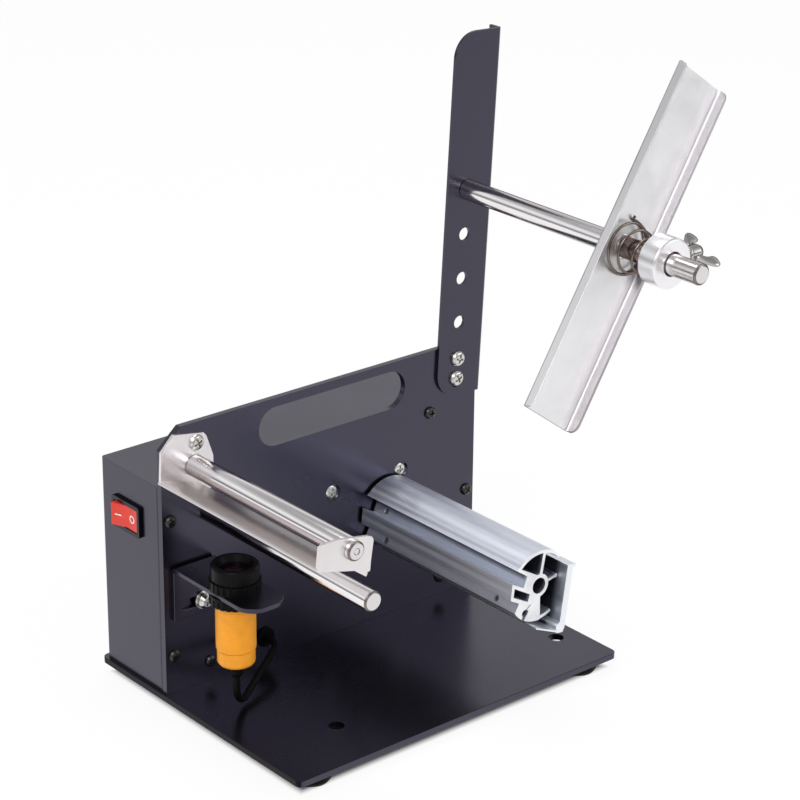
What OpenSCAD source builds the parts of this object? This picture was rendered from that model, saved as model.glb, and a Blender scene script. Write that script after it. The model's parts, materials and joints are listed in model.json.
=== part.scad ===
// Label dispenser machine: electric desktop unit with a motor-driven rewind drum.
// Axes: +X right along the front panel, +Y towards the back, +Z up, millimetres.
// The modules are drawn from the lower left corner of the front panel's face
// (x = 0 at its left edge, y = 0 on its face, z = 0 under the base plate) and
// placed so that the origin is the middle of the machine's outline seen from above,
// on the plane that the feet stand on.

/* [Base] */
// Base plate, left to right
base_width = 187.8; // [160:0.1:220]
// Base plate, front to back
base_depth = 148.2; // [120:0.1:180]
// Thickness of the base plate
base_thickness = 3; // [2:0.1:5]
// Corner radius of the base plate
base_corner = 3; // [2:0.5:12]
// Base plate edge beyond the panel's left edge
base_overhang_left = 1.2; // [0.6:0.1:4]
// Front edge of the base plate to the face of the panel
panel_setback = 98.1; // [80:0.1:120]
// Diameter of the two bench bolt holes
bench_hole_d = 7; // [4:0.1:8]
// Distance between the two bench bolt holes
bench_hole_pitch = 132.4; // [100:0.1:150]
// First bench bolt hole from the left edge
bench_hole_x = 43.1; // [20:0.1:50]
// Bench bolt holes from the front edge
bench_hole_y = 28.5; // [15:0.1:50]
// Diameter of a rubber foot
foot_d = 17; // [10:0.5:20]
// Height of a rubber foot
foot_height = 5; // [3:0.5:10]
// Centre of a foot from the left and right edges
foot_inset_x = 15; // [10.5:0.5:25]
// Centre of a foot from the front and back edges
foot_inset_y = 10.5; // [10.5:0.5:20]

/* [Front panel] */
// Panel, left to right
panel_width = 182.2; // [160:0.1:200]
// Top of the panel above the underside of the base
panel_top = 131.2; // [115:0.1:150]
// Thickness of the panel
panel_thickness = 3; // [2:0.1:4]
// Width of the cut-off upper left corner
corner_cut_x = 10.6; // [4:0.1:20]
// Height of the cut-off upper left corner
corner_cut_z = 9.3; // [4:0.1:20]
// Length of the handle slot
handle_length = 85; // [70:0.5:110]
// Height of the handle slot
handle_height = 18.8; // [15:0.1:24]
// Centre of the handle slot from the left edge
handle_x = 96; // [80:0.5:110]
// Centre of the handle slot above the base underside
handle_z = 117.6; // [110:0.1:125]

/* [Rear cover] */
// Depth of the cover behind the panel
cover_depth = 44.5; // [38:0.1:60]
// Top of the cover above the base underside
cover_top = 104; // [90:0.1:108]
// Sheet thickness of the cover
cover_sheet = 1.2; // [0.8:0.1:2]
// Cover side set in from the panel's edge
cover_inset = 0.4; // [0.2:0.1:2]
// Bend radius of the cover
cover_bend = 1.8; // [1.3:0.1:3]
// Width of the folded edge behind the panel
cover_lip = 10; // [7:0.5:14]

/* [Screws] */
// Thread diameter of the small machine screws
screw_d = 3; // [2.5:0.1:4]
// Head diameter of the small machine screws
screw_head_d = 6; // [5:0.1:8]
// Head height of the small machine screws
screw_head_h = 2; // [1.2:0.1:3]
// Thread diameter of the large machine screws
big_screw_d = 4; // [3:0.1:5]
// Head diameter of the large machine screws
big_head_d = 7.6; // [6:0.1:9]
// Head height of the large machine screws
big_head_h = 2.5; // [1.6:0.1:3.5]
// Radial gap between a thread and its hole
thread_gap = 0.05; // [0.02:0.01:0.15]
// Radial gap of a plain clearance hole
clear_gap = 0.4; // [0.3:0.05:0.8]

/* [Reel post] */
// Width of the post's face
post_width = 27.2; // [20:0.1:35]
// Length of the post
post_length = 174.8; // [140:0.1:220]
// Lower end of the post above the base underside
post_bottom = 106; // [104:0.1:112]
// Sheet thickness of the post
post_sheet = 1.5; // [1.2:0.1:2.5]
// Depth of the folded edge of the post
post_fold = 7.2; // [5:0.1:12]
// Corner radius of the post's face
post_corner = 12; // [5:0.5:13]
// Left edge of the post from the panel's left edge
post_x = 157.1; // [150:0.1:160]
// Row of holes from the post's left edge
post_hole_x = 11.5; // [9:0.1:16]
// Diameter of the height holes
post_hole_d = 6.2; // [5:0.1:8]
// Spacing of the height holes
post_hole_pitch = 21.5; // [18:0.1:25]
// Lowest height hole above the post's lower end
post_hole_z = 36.4; // [34:0.1:45]
// Lower fixing screw above the post's lower end
post_screw_z = 6.4; // [5:0.1:10]
// Spacing of the two fixing screws
post_screw_pitch = 12.1; // [10:0.1:18]
// Sideways lean of the post as it is screwed on, degrees
post_lean = 2.96; // [0:0.01:4]

/* [Reel] */
// Diameter of the reel shaft
shaft_d = 9.6; // [7:0.1:11]
// Length of the reel shaft in front of the post
shaft_length = 149.2; // [135:0.1:180]
// Diameter of the threaded stud at the shaft's root
stud_d = 6; // [5:0.1:6]
// Length of the threaded stud
stud_length = 11; // [9.6:0.1:16]
// Width of the reel bar
bar_width = 30.6; // [28:0.1:45]
// Length of the reel bar
bar_length = 165; // [120:0.1:200]
// Depth of the reel bar's edges
bar_depth = 6.4; // [4.5:0.1:10]
// Sheet thickness of the reel bar
bar_sheet = 1.5; // [1:0.1:2]
// Lean of the reel bar from upright, degrees
bar_tilt = 37.3; // [0:0.5:90]
// Backward lean of the loose bar's upper end, degrees
bar_nod = 5; // [0:0.5:6]
// Twist of the loose bar about its length, degrees
bar_twist = 5; // [0:0.5:6]
// Diameter of the bar's loose hole
bar_hole_d = 10.6; // [10.4:0.1:14]
// Middle of the reel bar to the face of the post
bar_reach = 101; // [60:0.1:102]
// Outer radius of the spring's large end
spring_big_r = 12.6; // [9:0.1:13.2]
// Outer radius of the spring's small end
spring_small_r = 8.2; // [6:0.1:9]
// Wire diameter of the spring
spring_wire = 1.2; // [0.8:0.1:1.6]
// Number of turns of the spring
spring_turns = 3.25; // [2.25:0.25:5]
// Installed length of the spring
spring_length = 18.8; // [14:0.1:24]
// Diameter of the shaft collar
collar_d = 22.6; // [16:0.1:30]
// Width of the shaft collar
collar_width = 10.5; // [8:0.1:16]
// Diameter of the recess in the collar's front
collar_recess_d = 12.6; // [10:0.1:14]
// Depth of the recess in the collar's front
collar_recess = 2.4; // [1:0.1:2.6]
// Radial gap of the parts that slide on the shaft
slide_gap = 0.06; // [0.02:0.01:0.1]
// Thread diameter of the wing screw
wing_screw_d = 5; // [4:0.1:6]
// Tip to tip width of the wing screw
wing_span = 22; // [16:0.5:28]
// Thickness of a wing
wing_sheet = 2.2; // [1.5:0.1:3.5]
// Turn of the wings about the screw, degrees
wing_turn = 26; // [0:1:60]

/* [Peel plate] */
// Length of the peel plate in front of the panel
peel_length = 111; // [90:0.5:125]
// Sheet thickness of the peel plate
peel_sheet = 1.5; // [1:0.1:2]
// Peel edge left of the panel's edge
peel_edge_x = 1.7; // [0.5:0.1:5]
// Height of the peel edge above the base underside
peel_edge_z = 108.4; // [100:0.1:115]
// Slope of the peel plate's floor, degrees
peel_slope = 15; // [5:0.5:25]
// Length of the sloping floor
peel_floor = 20; // [14:0.5:24]
// Height of the front end plate
peel_end_height = 10; // [8.5:0.1:14]
// Height of the back flange
peel_back_height = 20.4; // [16:0.1:25]
// Diameter of the guide roller
roller_d = 10; // [8:0.1:11]
// Diameter of the roller's journals
journal_d = 8.8; // [5:0.1:9]
// Radial gap around a journal
journal_gap = 0.08; // [0.04:0.01:0.1]
// Roller's axis from the panel's left edge
roller_x = 17; // [14:0.1:20]
// Roller's axis above the base underside
roller_z = 111.8; // [110:0.1:114]
// Diameter of the lower guide rod
rod_d = 9.2; // [6:0.1:12]
// Length of the lower guide rod
rod_length = 115; // [90:0.5:130]
// Lower rod's axis from the panel's left edge
rod_x = 25; // [20:0.1:30]
// Lower rod's axis above the base underside
rod_z = 86.9; // [75:0.1:90]

/* [Label sensor] */
// Diameter of the sensor's threaded body
sensor_d = 18; // [12:0.5:18]
// Sensor's axis from the panel's left edge
sensor_x = 14.7; // [13:0.1:16]
// Sensor's axis in front of the panel
sensor_y = 33; // [25:0.1:40]
// Lower end of the sensor above the base underside
sensor_bottom = 28.6; // [22:0.1:40]
// Length of the sensor's body
sensor_length = 45.4; // [40.3:0.1:47]
// Diameter of the sensor's two nuts
nut_d = 23.2; // [20:0.1:25]
// Thickness of the sensor's nuts
nut_h = 4.6; // [3:0.1:6]
// Diameter of the lens hood
hood_d = 21.6; // [19.5:0.1:24]
// Width of the sensor bracket
bracket_width = 23; // [20:0.1:30]
// Bracket's left edge from the panel's left edge
bracket_x = 4; // [3:0.1:8]
// Top of the bracket above the base underside
bracket_top = 65.4; // [60:0.1:70]
// Height of the bracket's upright face
bracket_height = 26; // [22:0.1:32]
// Reach of the bracket in front of the panel
bracket_reach = 57.5; // [48:0.5:65]
// Sheet thickness of the bracket
bracket_sheet = 2; // [1.5:0.1:3]
// Length of the bracket's slot
bracket_slot = 16.5; // [10:0.1:18]
// Diameter of the sensor cable
cable_d = 3.2; // [2:0.1:4]
// Cable hole from the panel's left edge
cable_hole_x = 55.5; // [52:0.1:60]
// Cable hole above the base underside
cable_hole_z = 14.4; // [13:0.1:16]

/* [Rewind drum] */
// Radius of the drum
drum_r = 17; // [15.5:0.1:18]
// Length of the drum
drum_length = 103.5; // [80:0.5:120]
// Gap between the drum and the panel
drum_gap = 1.5; // [1:0.1:4]
// Drum's axis from the panel's left edge
drum_x = 128.3; // [125:0.1:132]
// Drum's axis above the base underside
drum_z = 58.2; // [55:0.1:62]
// Diameter of the bore and of the motor's shaft
drum_bore_d = 7.6; // [6:0.1:8]
// Wall thickness of the drum
drum_wall = 1.5; // [1:0.1:1.6]
// Slot set screw from the drum's back end
slot_screw_y = 8; // [5:0.5:15]
// Outer set screws from the drum's ends
leg_screw_y = 13.5; // [8:0.5:25]
// Thickness of the clamp bar
clip_sheet = 3.4; // [1.5:0.1:4]
// Clamp bar's face from the drum's axis
clip_face = 11; // [10.9:0.1:12]
// Clamp bar in front of the drum
clip_proud = 5.4; // [1:0.1:6]

/* [Drive] */
// Side length of the gearbox
gearbox_size = 52; // [50:0.5:56]
// Depth of the gearbox
gearbox_depth = 18; // [14:0.5:20]
// Spacing of the motor's fixing screws
motor_screw_pitch = 41; // [36:0.1:42]
// Gearbox centre from the panel's left edge
gearbox_x = 116.1; // [114:0.1:118]
// Gearbox centre above the base underside
gearbox_z = 55; // [54:0.1:58]
// Diameter of the motor
motor_d = 36; // [30:0.5:40]
// Length of the motor
motor_length = 20; // [16:0.5:21]

/* [Electrics] */
// Switch frame, front to back
switch_length = 21; // [18:0.1:24]
// Switch frame, height
switch_height = 15; // [12:0.1:16]
// Switch centre behind the panel's face
switch_y = 27; // [22:0.1:30]
// Switch centre above the base underside
switch_z = 82; // [70:0.1:90]
// Half the bend of the rocker, degrees
rocker_angle = 11; // [6:0.5:14]
// Power socket from the panel's left edge
socket_x = 152; // [145:0.5:165]
// Power socket above the base underside
socket_z = 24; // [18:0.5:40]
// Diameter of the power socket's thread
socket_d = 11; // [8:0.1:12]
// Circuit board, left to right
board_width = 62; // [50:0.5:66]
// Circuit board, height
board_height = 42; // [30:0.5:46]

/* [Hidden] */
$fn = 64;
e = 0.01;
bz = base_thickness;
pt = panel_thickness;
cover_back = pt + cover_depth;
cover_left = cover_inset;
cover_right = panel_width - cover_inset;
post_pivot_x = post_x + post_hole_x;
post_pivot_z = post_bottom + post_screw_z;
shaft_hole_z = post_hole_z + 3*post_hole_pitch - post_screw_z;
reel_x = post_pivot_x + shaft_hole_z*sin(post_lean);
reel_z = post_pivot_z + shaft_hole_z*cos(post_lean);
bar_back = -post_sheet - bar_reach;
bar_front = bar_back - bar_sheet;
collar_back = bar_front - spring_length;
collar_mid = collar_back - collar_width/2;
// peel plate: floor direction and its lower fold
floor_dx = cos(peel_slope);
floor_dz = -sin(peel_slope);
peel_x0 = -peel_edge_x;
peel_x1 = peel_x0 + peel_floor*floor_dx;
peel_z1 = peel_edge_z + peel_floor*floor_dz;
peel_back_top = peel_edge_z + peel_back_height;
// lower fold of the peel plate, down to the right
fold_dx = 6.2;
fold_dz = -4.6;
bracket_bottom = bracket_top - bracket_height;
slot_z = bracket_top - 19.6;
slot_r = 2.5;
bracket_screw_x = bracket_x + 15.6;
bracket_slot_x = bracket_x + 3.8;
boot_d = 6;
boot_h = 7;
output_d = drum_bore_d - 0.08;
// cable: drop, first bend, straight run and last bend
cable_bend = 9;
cable_rise = 12;
cable_plan = 30;
cable_end_r = 8;
cable_end_turn = acos(cos(cable_rise)*sin(cable_plan));
cable_end_t = cable_end_r*tan(cable_end_turn/2);
cable_reach = cable_bend*(1 + sin(cable_rise));
cable_span = cable_hole_x - sensor_x - cable_reach*cos(cable_plan);
cable_run = cable_span/(cos(cable_rise)*cos(cable_plan)) - cable_end_t;
cable_drop_z = cable_hole_z + cable_bend*cos(cable_rise)
    - (cable_run + cable_end_t)*sin(cable_rise);
cable_p1_x = sensor_x + cable_reach*cos(cable_plan);
cable_p1_y = -sensor_y + cable_reach*sin(cable_plan);
cable_p1_z = cable_drop_z - cable_bend*cos(cable_rise);
cable_y_end = cable_p1_y + (cable_run + cable_end_t)*cos(cable_rise)*sin(cable_plan)
    + cable_end_t;
cable_slope = atan2(sin(cable_rise), cos(cable_rise)*cos(cable_plan));
// left and right, front and back limits of the machine
rocker_tip_x = cover_left + 1 - 3.9*cos(rocker_angle) - 7.9*sin(rocker_angle);
bar_tip_x = reel_x + cos(bar_tilt)*cos(bar_twist)*bar_width/2
    + sin(bar_tilt)*(cos(bar_nod)*bar_length/2 + sin(bar_nod)*sin(bar_twist)*bar_width/2)
    - 2.5*(sin(bar_twist)*cos(bar_tilt) - cos(bar_twist)*sin(bar_nod)*sin(bar_tilt));
shift_x = -(rocker_tip_x + bar_tip_x)/2;
shift_y = -(base_depth - panel_setback - post_sheet - shaft_length)/2;
// folded feet of the panel and of the cover
bracket_spots = [24.6, 161.7];
cover_foot_spots = [40, 135];
bracket_screw_z = 12.3;
board_x = 18;
board_z = 14;
board_y = cover_back - cover_sheet - 8;

panel_screw_spots = [
  [4.2, 87.8],
  [4.6, 21.5],
  [bracket_spots[0], bracket_screw_z],
  [154, 100.2],
  [177.6, 54.2],
  [bracket_spots[1], bracket_screw_z]
];

module placed() {
  translate([shift_x, shift_y, foot_height]) children();
}

// a cylinder along +Y from y to y + h
module ycyl(x, y, z, d, h) {
  translate([x, y + h, z]) rotate([90, 0, 0]) cylinder(d=d, h=h);
}

module ycone(x, y, z, d1, d2, h) {
  translate([x, y + h, z]) rotate([90, 0, 0]) cylinder(d1=d2, d2=d1, h=h);
}

// a sheet outline in the x-z plane, from y - t to y
module xz_sheet(y, t) {
  translate([0, y, 0]) rotate([90, 0, 0]) linear_extrude(t) children();
}

module rounded_box_2d(w, h, r) {
  union() {
    translate([r, 0]) square([w - 2*r, h]);
    translate([0, r]) square([w, h - 2*r]);
    translate([r, r]) circle(r);
    translate([w - r, r]) circle(r);
    translate([w - r, h - r]) circle(r);
    translate([r, h - r]) circle(r);
  }
}

module cross_recess(w, depth) {
  for (a = [0, 90]) rotate([0, 0, a])
    translate([-w/2, -0.45, -depth]) cube([w, 0.9, depth + 1]);
}

// pan-head screw along +Y: head in front of y, shank behind it
module pan_screw(x, y, z, d, head_d, head_h, length) {
  translate([x, y, z]) rotate([-90, 0, 0]) difference() {
    union() {
      translate([0, 0, -head_h*0.3]) cylinder(d=d, h=length + head_h*0.3);
      translate([0, 0, -head_h*0.45]) cylinder(d=head_d, h=head_h*0.45);
      translate([0, 0, -head_h]) cylinder(d1=head_d*0.62, d2=head_d, h=head_h*0.55 + e);
    }
    translate([0, 0, -head_h]) rotate([180, 0, 20]) cross_recess(head_d*0.55, head_h*0.6);
  }
}

module nut_y(x, y, z, hole, across, h) {
  difference() {
    translate([x, y + h, z]) rotate([90, 0, 0])
      cylinder(d=across/cos(30), h=h, $fn=6);
    ycyl(x, y - 1, z, hole, h + 2);
  }
}

function unit(v) = v/norm(v);
function tangent(p, i) = unit(p[min(i + 1, len(p) - 1)] - p[max(i - 1, 0)]);
// sideways direction of a ring, carried along the path without twisting
function side_dir(p, i) = let (
    t = tangent(p, i),
    s = i == 0 ? (abs(t[2]) > 0.9 ? [1, 0, 0] : [0, 0, 1]) : side_dir(p, i - 1))
  unit(s - (s*t)*t);

// round tube of radius r with m sides along the points p
module tube(p, r, m) {
  n = len(p) - 1;
  pts = [for (i = [0:n]) let (t = tangent(p, i), s = side_dir(p, i), u = cross(t, s))
    for (j = [0:m - 1]) p[i] + r*cos(j*360/m)*s + r*sin(j*360/m)*u];
  sides = [for (i = [0:n - 1]) for (j = [0:m - 1])
    [i*m + j, (i + 1)*m + j, (i + 1)*m + (j + 1)%m, i*m + (j + 1)%m]];
  ends = [[for (j = [0:m - 1]) j], [for (j = [m - 1:-1:0]) n*m + j]];
  polyhedron(points=pts, faces=concat(sides, ends), convexity=10);
}

// point on a smooth curve through the points p, t of the way from point i
function on_curve(p, i, t) = let (
    a = p[max(i - 1, 0)], b = p[i], c = p[i + 1], d = p[min(i + 2, len(p) - 1)])
  b + t/2*((c - a) + t*((2*a - 5*b + 4*c - d) + t*(3*(b - c) + d - a)));
function curve(p, n) = concat(
  [for (i = [0:len(p) - 2]) for (k = [0:n - 1]) on_curve(p, i, k/n)], [p[len(p) - 1]]);

module wire(points, d) {
  tube(curve(points, 5), d/2, 8);
}

// ---------------------------------------------------------------- base
module base_outline() {
  translate([-base_overhang_left, -panel_setback])
    rounded_box_2d(base_width, base_depth, base_corner);
}

module base_plate() {
  color([0.12, 0.12, 0.13]) placed() difference() {
    linear_extrude(base_thickness) base_outline();
    for (i = [0, 1])
      translate([bench_hole_x - base_overhang_left + i*bench_hole_pitch,
          bench_hole_y - panel_setback, -1])
        cylinder(d=bench_hole_d, h=base_thickness + 2);
    for (p = base_screw_spots) translate([p[0], p[1], -1]) {
      cylinder(d=screw_d + 2*clear_gap, h=base_thickness + 2);
      cylinder(d=screw_head_d + 0.6, h=1 + 0.3);
      translate([0, 0, 1.3]) cylinder(d1=screw_head_d + 0.6, d2=screw_d, h=1.8);
    }
  }
}

module rubber_feet() {
  color([0.08, 0.08, 0.08]) placed()
    for (x = [foot_inset_x, base_width - foot_inset_x])
      for (y = [foot_inset_y, base_depth - foot_inset_y])
        translate([x - base_overhang_left, y - panel_setback, -foot_height])
          difference() {
            union() {
              cylinder(d1=foot_d - 2, d2=foot_d, h=1.5);
              translate([0, 0, 1.5 - e]) cylinder(d=foot_d, h=foot_height - 1.5 + e);
            }
            translate([0, 0, -1]) cylinder(d=foot_d*0.4, h=2);
          }
}

// screws from below: two into the panel brackets, two into the cover
base_screw_spots = [
  [bracket_spots[0], pt + 9.5],
  [bracket_spots[1], pt + 9.5],
  [cover_foot_spots[0], cover_back - 8],
  [cover_foot_spots[1], cover_back - 8]
];

module base_screws() {
  color([0.1, 0.1, 0.1]) placed()
    for (p = base_screw_spots) translate([p[0], p[1], 0.3]) difference() {
      union() {
        cylinder(d1=screw_head_d, d2=screw_d, h=1.6);
        cylinder(d=screw_d, h=base_thickness + 1.9);
      }
      translate([0, 0, 0]) rotate([180, 0, 0]) cross_recess(screw_head_d*0.5, 1);
    }
}

module panel_brackets() {
  color([0.55, 0.56, 0.58]) placed()
    for (x = bracket_spots) difference() {
      union() {
        translate([x - 9, pt, bz]) cube([18, 1.6, 17]);
        translate([x - 9, pt, bz]) cube([18, 17, 1.6]);
      }
      ycyl(x, pt - 1, bracket_screw_z, screw_d + 2*thread_gap, 4);
      translate([x, pt + 9.5, bz - 1]) cylinder(d=screw_d + 2*thread_gap, h=4);
    }
}

// ---------------------------------------------------------------- panel
module panel_outline() {
  difference() {
    polygon([
      [0, bz],
      [panel_width, bz],
      [panel_width, panel_top],
      [corner_cut_x, panel_top],
      [0, panel_top - corner_cut_z]
    ]);
    translate([handle_x, handle_z]) {
      square([handle_length - handle_height, handle_height], center=true);
      for (s = [-1, 1]) translate([s*(handle_length - handle_height)/2, 0])
        circle(d=handle_height);
    }
  }
}

module motor_screw_spots() {
  for (sx = [-1, 1])
    for (sz = [-1, 1])
      translate([gearbox_x + sx*motor_screw_pitch/2, 0,
          gearbox_z + sz*motor_screw_pitch/2]) children();
}

module front_panel() {
  color([0.13, 0.13, 0.14]) placed() difference() {
    xz_sheet(pt, pt) panel_outline();
    for (p = panel_screw_spots) ycyl(p[0], -1, p[1], screw_d + 2*clear_gap, pt + 2);
    // countersunk motor screws
    motor_screw_spots() {
      ycyl(0, -1, 0, big_screw_d + 2*clear_gap, pt + 2);
      ycyl(0, -1, 0, big_head_d + 0.6, 1.2);
      ycone(0, 0.2, 0, big_head_d + 0.6, big_screw_d + 2*clear_gap, 2.2);
    }
    // boss of the gearbox
    ycyl(drum_x, -1, drum_z, 17, pt + 2);
    // post screws, peel plate screws and bracket screw
    ycyl(post_pivot_x, -1, post_pivot_z, big_screw_d + 2*thread_gap, pt + 2);
    ycyl(post_top_screw_x, -1, post_top_screw_z, big_screw_d + 2*thread_gap, pt + 2);
    for (p = peel_screw_spots) ycyl(p[0], -1, p[1], big_screw_d + 2*thread_gap, pt + 2);
    ycyl(bracket_screw_x, -1, slot_z, big_screw_d + 2*thread_gap, pt + 2);
    // roller journal, lower rod and cable
    ycyl(roller_x, -1, roller_z, journal_d + 2*journal_gap, pt + 2);
    ycyl(rod_x, -1, rod_z, stud_d + 2*thread_gap, pt + 2);
    ycyl(cable_hole_x, -1, cable_hole_z, 7, pt + 2);
  }
}

module panel_screws() {
  color([0.1, 0.1, 0.1]) placed()
    for (p = panel_screw_spots)
      pan_screw(p[0], 0, p[1], screw_d, screw_head_d, screw_head_h, pt + 4);
}

// ---------------------------------------------------------------- rear cover
module cover_plan(inset, r) {
  translate([cover_left + inset, pt + inset])
    rounded_box_2d(cover_right - cover_left - 2*inset, cover_depth - 2*inset, r);
}

module rear_cover() {
  w = cover_right - cover_left;
  color([0.13, 0.13, 0.14]) placed() difference() {
    translate([0, 0, bz]) linear_extrude(cover_top - bz) cover_plan(0, cover_bend);
    // hollow inside
    translate([0, 0, bz - 1]) linear_extrude(cover_top - bz + 1 - cover_sheet)
      cover_plan(cover_sheet, cover_bend - cover_sheet);
    // opening behind the panel, folded edges stay at the top and sides
    translate([cover_left + cover_lip, pt - 1, bz - 1])
      cube([w - 2*cover_lip, cover_sheet + 2, cover_top - bz + 1 - cover_lip + 1.8]);
    // lip screws
    for (i = [0, 1, 3, 4])
      ycyl(panel_screw_spots[i][0], pt - 1, panel_screw_spots[i][1],
          screw_d + 2*thread_gap, cover_sheet + 2);
    // room for the panel brackets' screws and the switch
    translate([cover_left - 1, switch_y - 9.7, switch_z - 6.6])
      cube([cover_sheet + 2, 19.4, 13.2]);
    // power socket
    ycyl(socket_x, cover_back - cover_sheet - 1, socket_z, socket_d + 0.4, cover_sheet + 2);
    // cooling slots in the back wall
    for (i = [0:6])
      translate([94 + i*7, cover_back - cover_sheet - 1, 66])
        cube([2.4, cover_sheet + 2, 24]);
  }
}

// folded tab inside the cover's back wall that takes the base screws
module cover_feet() {
  color([0.55, 0.56, 0.58]) placed()
    for (x = cover_foot_spots) difference() {
      union() {
        translate([x - 9, cover_back - cover_sheet - 14, bz]) cube([18, 14, 1.6]);
        translate([x - 9, cover_back - cover_sheet - 1.6, bz]) cube([18, 1.6, 10]);
      }
      translate([x, cover_back - 8, bz - 1]) cylinder(d=screw_d + 2*thread_gap, h=4);
    }
}

// ---------------------------------------------------------------- post
post_top_screw_x = post_pivot_x + post_screw_pitch*sin(post_lean);
post_top_screw_z = post_pivot_z + post_screw_pitch*cos(post_lean);

// turns what is drawn for an upright post to the lean of the post
module leaning() {
  translate([post_pivot_x, 0, post_pivot_z]) rotate([0, post_lean, 0])
    translate([-post_hole_x, 0, -post_screw_z]) children();
}

module post_face_2d() {
  union() {
    translate([post_corner, 0]) square([post_width - post_corner, post_length]);
    translate([0, post_corner]) square([post_width, post_length - 2*post_corner]);
    translate([post_corner, post_corner]) circle(post_corner);
    translate([post_corner, post_length - post_corner]) circle(post_corner);
  }
}

module reel_post() {
  color([0.13, 0.13, 0.14]) placed() leaning() difference() {
    union() {
      // face
      xz_sheet(0, post_sheet) intersection() {
        post_face_2d();
        square([post_width - 2, post_length]);
      }
      // folded edge with its bend
      difference() {
        translate([post_width - 2, -post_sheet, 0]) cube([2, 2, post_length]);
        translate([post_width - 2, -post_sheet + 2, -1]) difference() {
          translate([0, -2.5, 0]) cube([2.5, 2.5, post_length + 2]);
          translate([0, 0, -1]) cylinder(r=2, h=post_length + 4);
        }
        translate([post_width - 2, -post_sheet + 2, -1])
          cylinder(r=2 - post_sheet, h=post_length + 2);
      }
      translate([post_width - post_sheet, -post_sheet + 2, 0])
        cube([post_sheet, post_fold - 2, post_length]);
    }
    // height holes
    for (i = [0:3])
      ycyl(post_hole_x, -post_sheet - 1, post_hole_z + i*post_hole_pitch,
          post_hole_d, post_sheet + 2);
    for (i = [0, 1])
      ycyl(post_hole_x, -post_sheet - 1, post_screw_z + i*post_screw_pitch,
          big_screw_d + 2*clear_gap, post_sheet + 2);
  }
}

module post_screws() {
  color([0.75, 0.75, 0.76]) placed() leaning()
    for (i = [0, 1])
      pan_screw(post_hole_x, -post_sheet, post_screw_z + i*post_screw_pitch,
          big_screw_d, big_head_d, big_head_h, post_sheet + pt + 4.5);
}

module post_nuts() {
  color([0.75, 0.75, 0.76]) placed() leaning()
    for (i = [0, 1])
      nut_y(post_hole_x, pt, post_screw_z + i*post_screw_pitch,
          big_screw_d + 2*thread_gap, 7, 3.2);
}

// ---------------------------------------------------------------- reel
module reel_shaft() {
  color([0.78, 0.78, 0.79]) placed() union() {
    ycyl(reel_x, -post_sheet - shaft_length + 1, reel_z, shaft_d, shaft_length - 1);
    ycone(reel_x, -post_sheet - shaft_length, reel_z, shaft_d - 2, shaft_d, 1 + e);
    ycyl(reel_x, -post_sheet - e, reel_z, stud_d, stud_length + e);
  }
}

module shaft_washer() {
  color([0.75, 0.75, 0.76]) placed() difference() {
    ycyl(reel_x, 0, reel_z, 12, 1.2);
    ycyl(reel_x, -1, reel_z, stud_d + 0.2, 4);
  }
}

module shaft_nut() {
  color([0.75, 0.75, 0.76]) placed()
    nut_y(reel_x, 1.2, reel_z, stud_d + 2*thread_gap, 10, 5);
}

// bar drawn upright about the shaft, then leaned
module reel_bar() {
  r = 4;
  color([0.8, 0.8, 0.8]) placed() translate([reel_x, bar_back, reel_z])
    rotate([0, bar_tilt, 0]) rotate([-bar_nod, 0, 0]) rotate([0, 0, -bar_twist]) difference() {
      union() {
        translate([-bar_width/2 + 2.5, -bar_sheet, -bar_length/2])
          cube([bar_width - 5, bar_sheet, bar_length]);
        for (s = [0, 1]) mirror([s, 0, 0]) {
          // bend between the web and the edge
          translate([bar_width/2 - 2.5, -2.5, -bar_length/2]) intersection() {
            difference() {
              cylinder(r=2.5, h=bar_length);
              translate([0, 0, -1]) cylinder(r=2.5 - bar_sheet, h=bar_length + 2);
            }
            cube([3, 3, bar_length]);
          }
          // edge with rounded ends
          translate([bar_width/2 - bar_sheet, 0, 0]) rotate([0, 90, 0]) linear_extrude(bar_sheet)
            difference() {
              translate([-bar_length/2, -bar_depth]) square([bar_length, bar_depth - 2.5]);
              for (q = [-1, 1])
                translate([q*(bar_length/2 - r), -bar_depth + r]) difference() {
                  translate([q > 0 ? 0 : -r - 1, -r - 1]) square([r + 1, r + 1]);
                  circle(r);
                }
            }
        }
      }
      // bore for the shaft
      translate([0, 1, 0]) rotate([90, 0, 0]) cylinder(d=bar_hole_d, h=4);
    }
}

// the bar's front face leans by bar_nod and bar_twist: its rise at x, z from the shaft
function bar_rise(x, z) =
  (x*sin(bar_tilt) + z*cos(bar_tilt))*tan(-bar_nod)
  + (x*cos(bar_tilt) - z*sin(bar_tilt))*tan(bar_twist);

// centre of the spring's wire, t from the bar to the collar
function coil_line(t) = let (
    turn = 75 - 360*spring_turns*t,
    r = spring_big_r - (spring_big_r - spring_small_r)*t - spring_wire/2,
    along = 0.15 + spring_wire/2 + (spring_length - spring_wire - 0.25)*(0.25*t + 0.75*t*t))
  [r*cos(turn), -along - (1 - t)*(1 - t)*bar_rise(r*cos(turn), r*sin(turn)), r*sin(turn)];

module reel_spring() {
  n = round(spring_turns*36);
  color([0.45, 0.44, 0.44]) placed() translate([reel_x, bar_front, reel_z])
    tube([for (i = [0:n]) coil_line(i/n)], spring_wire/2, 10);
}

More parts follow.
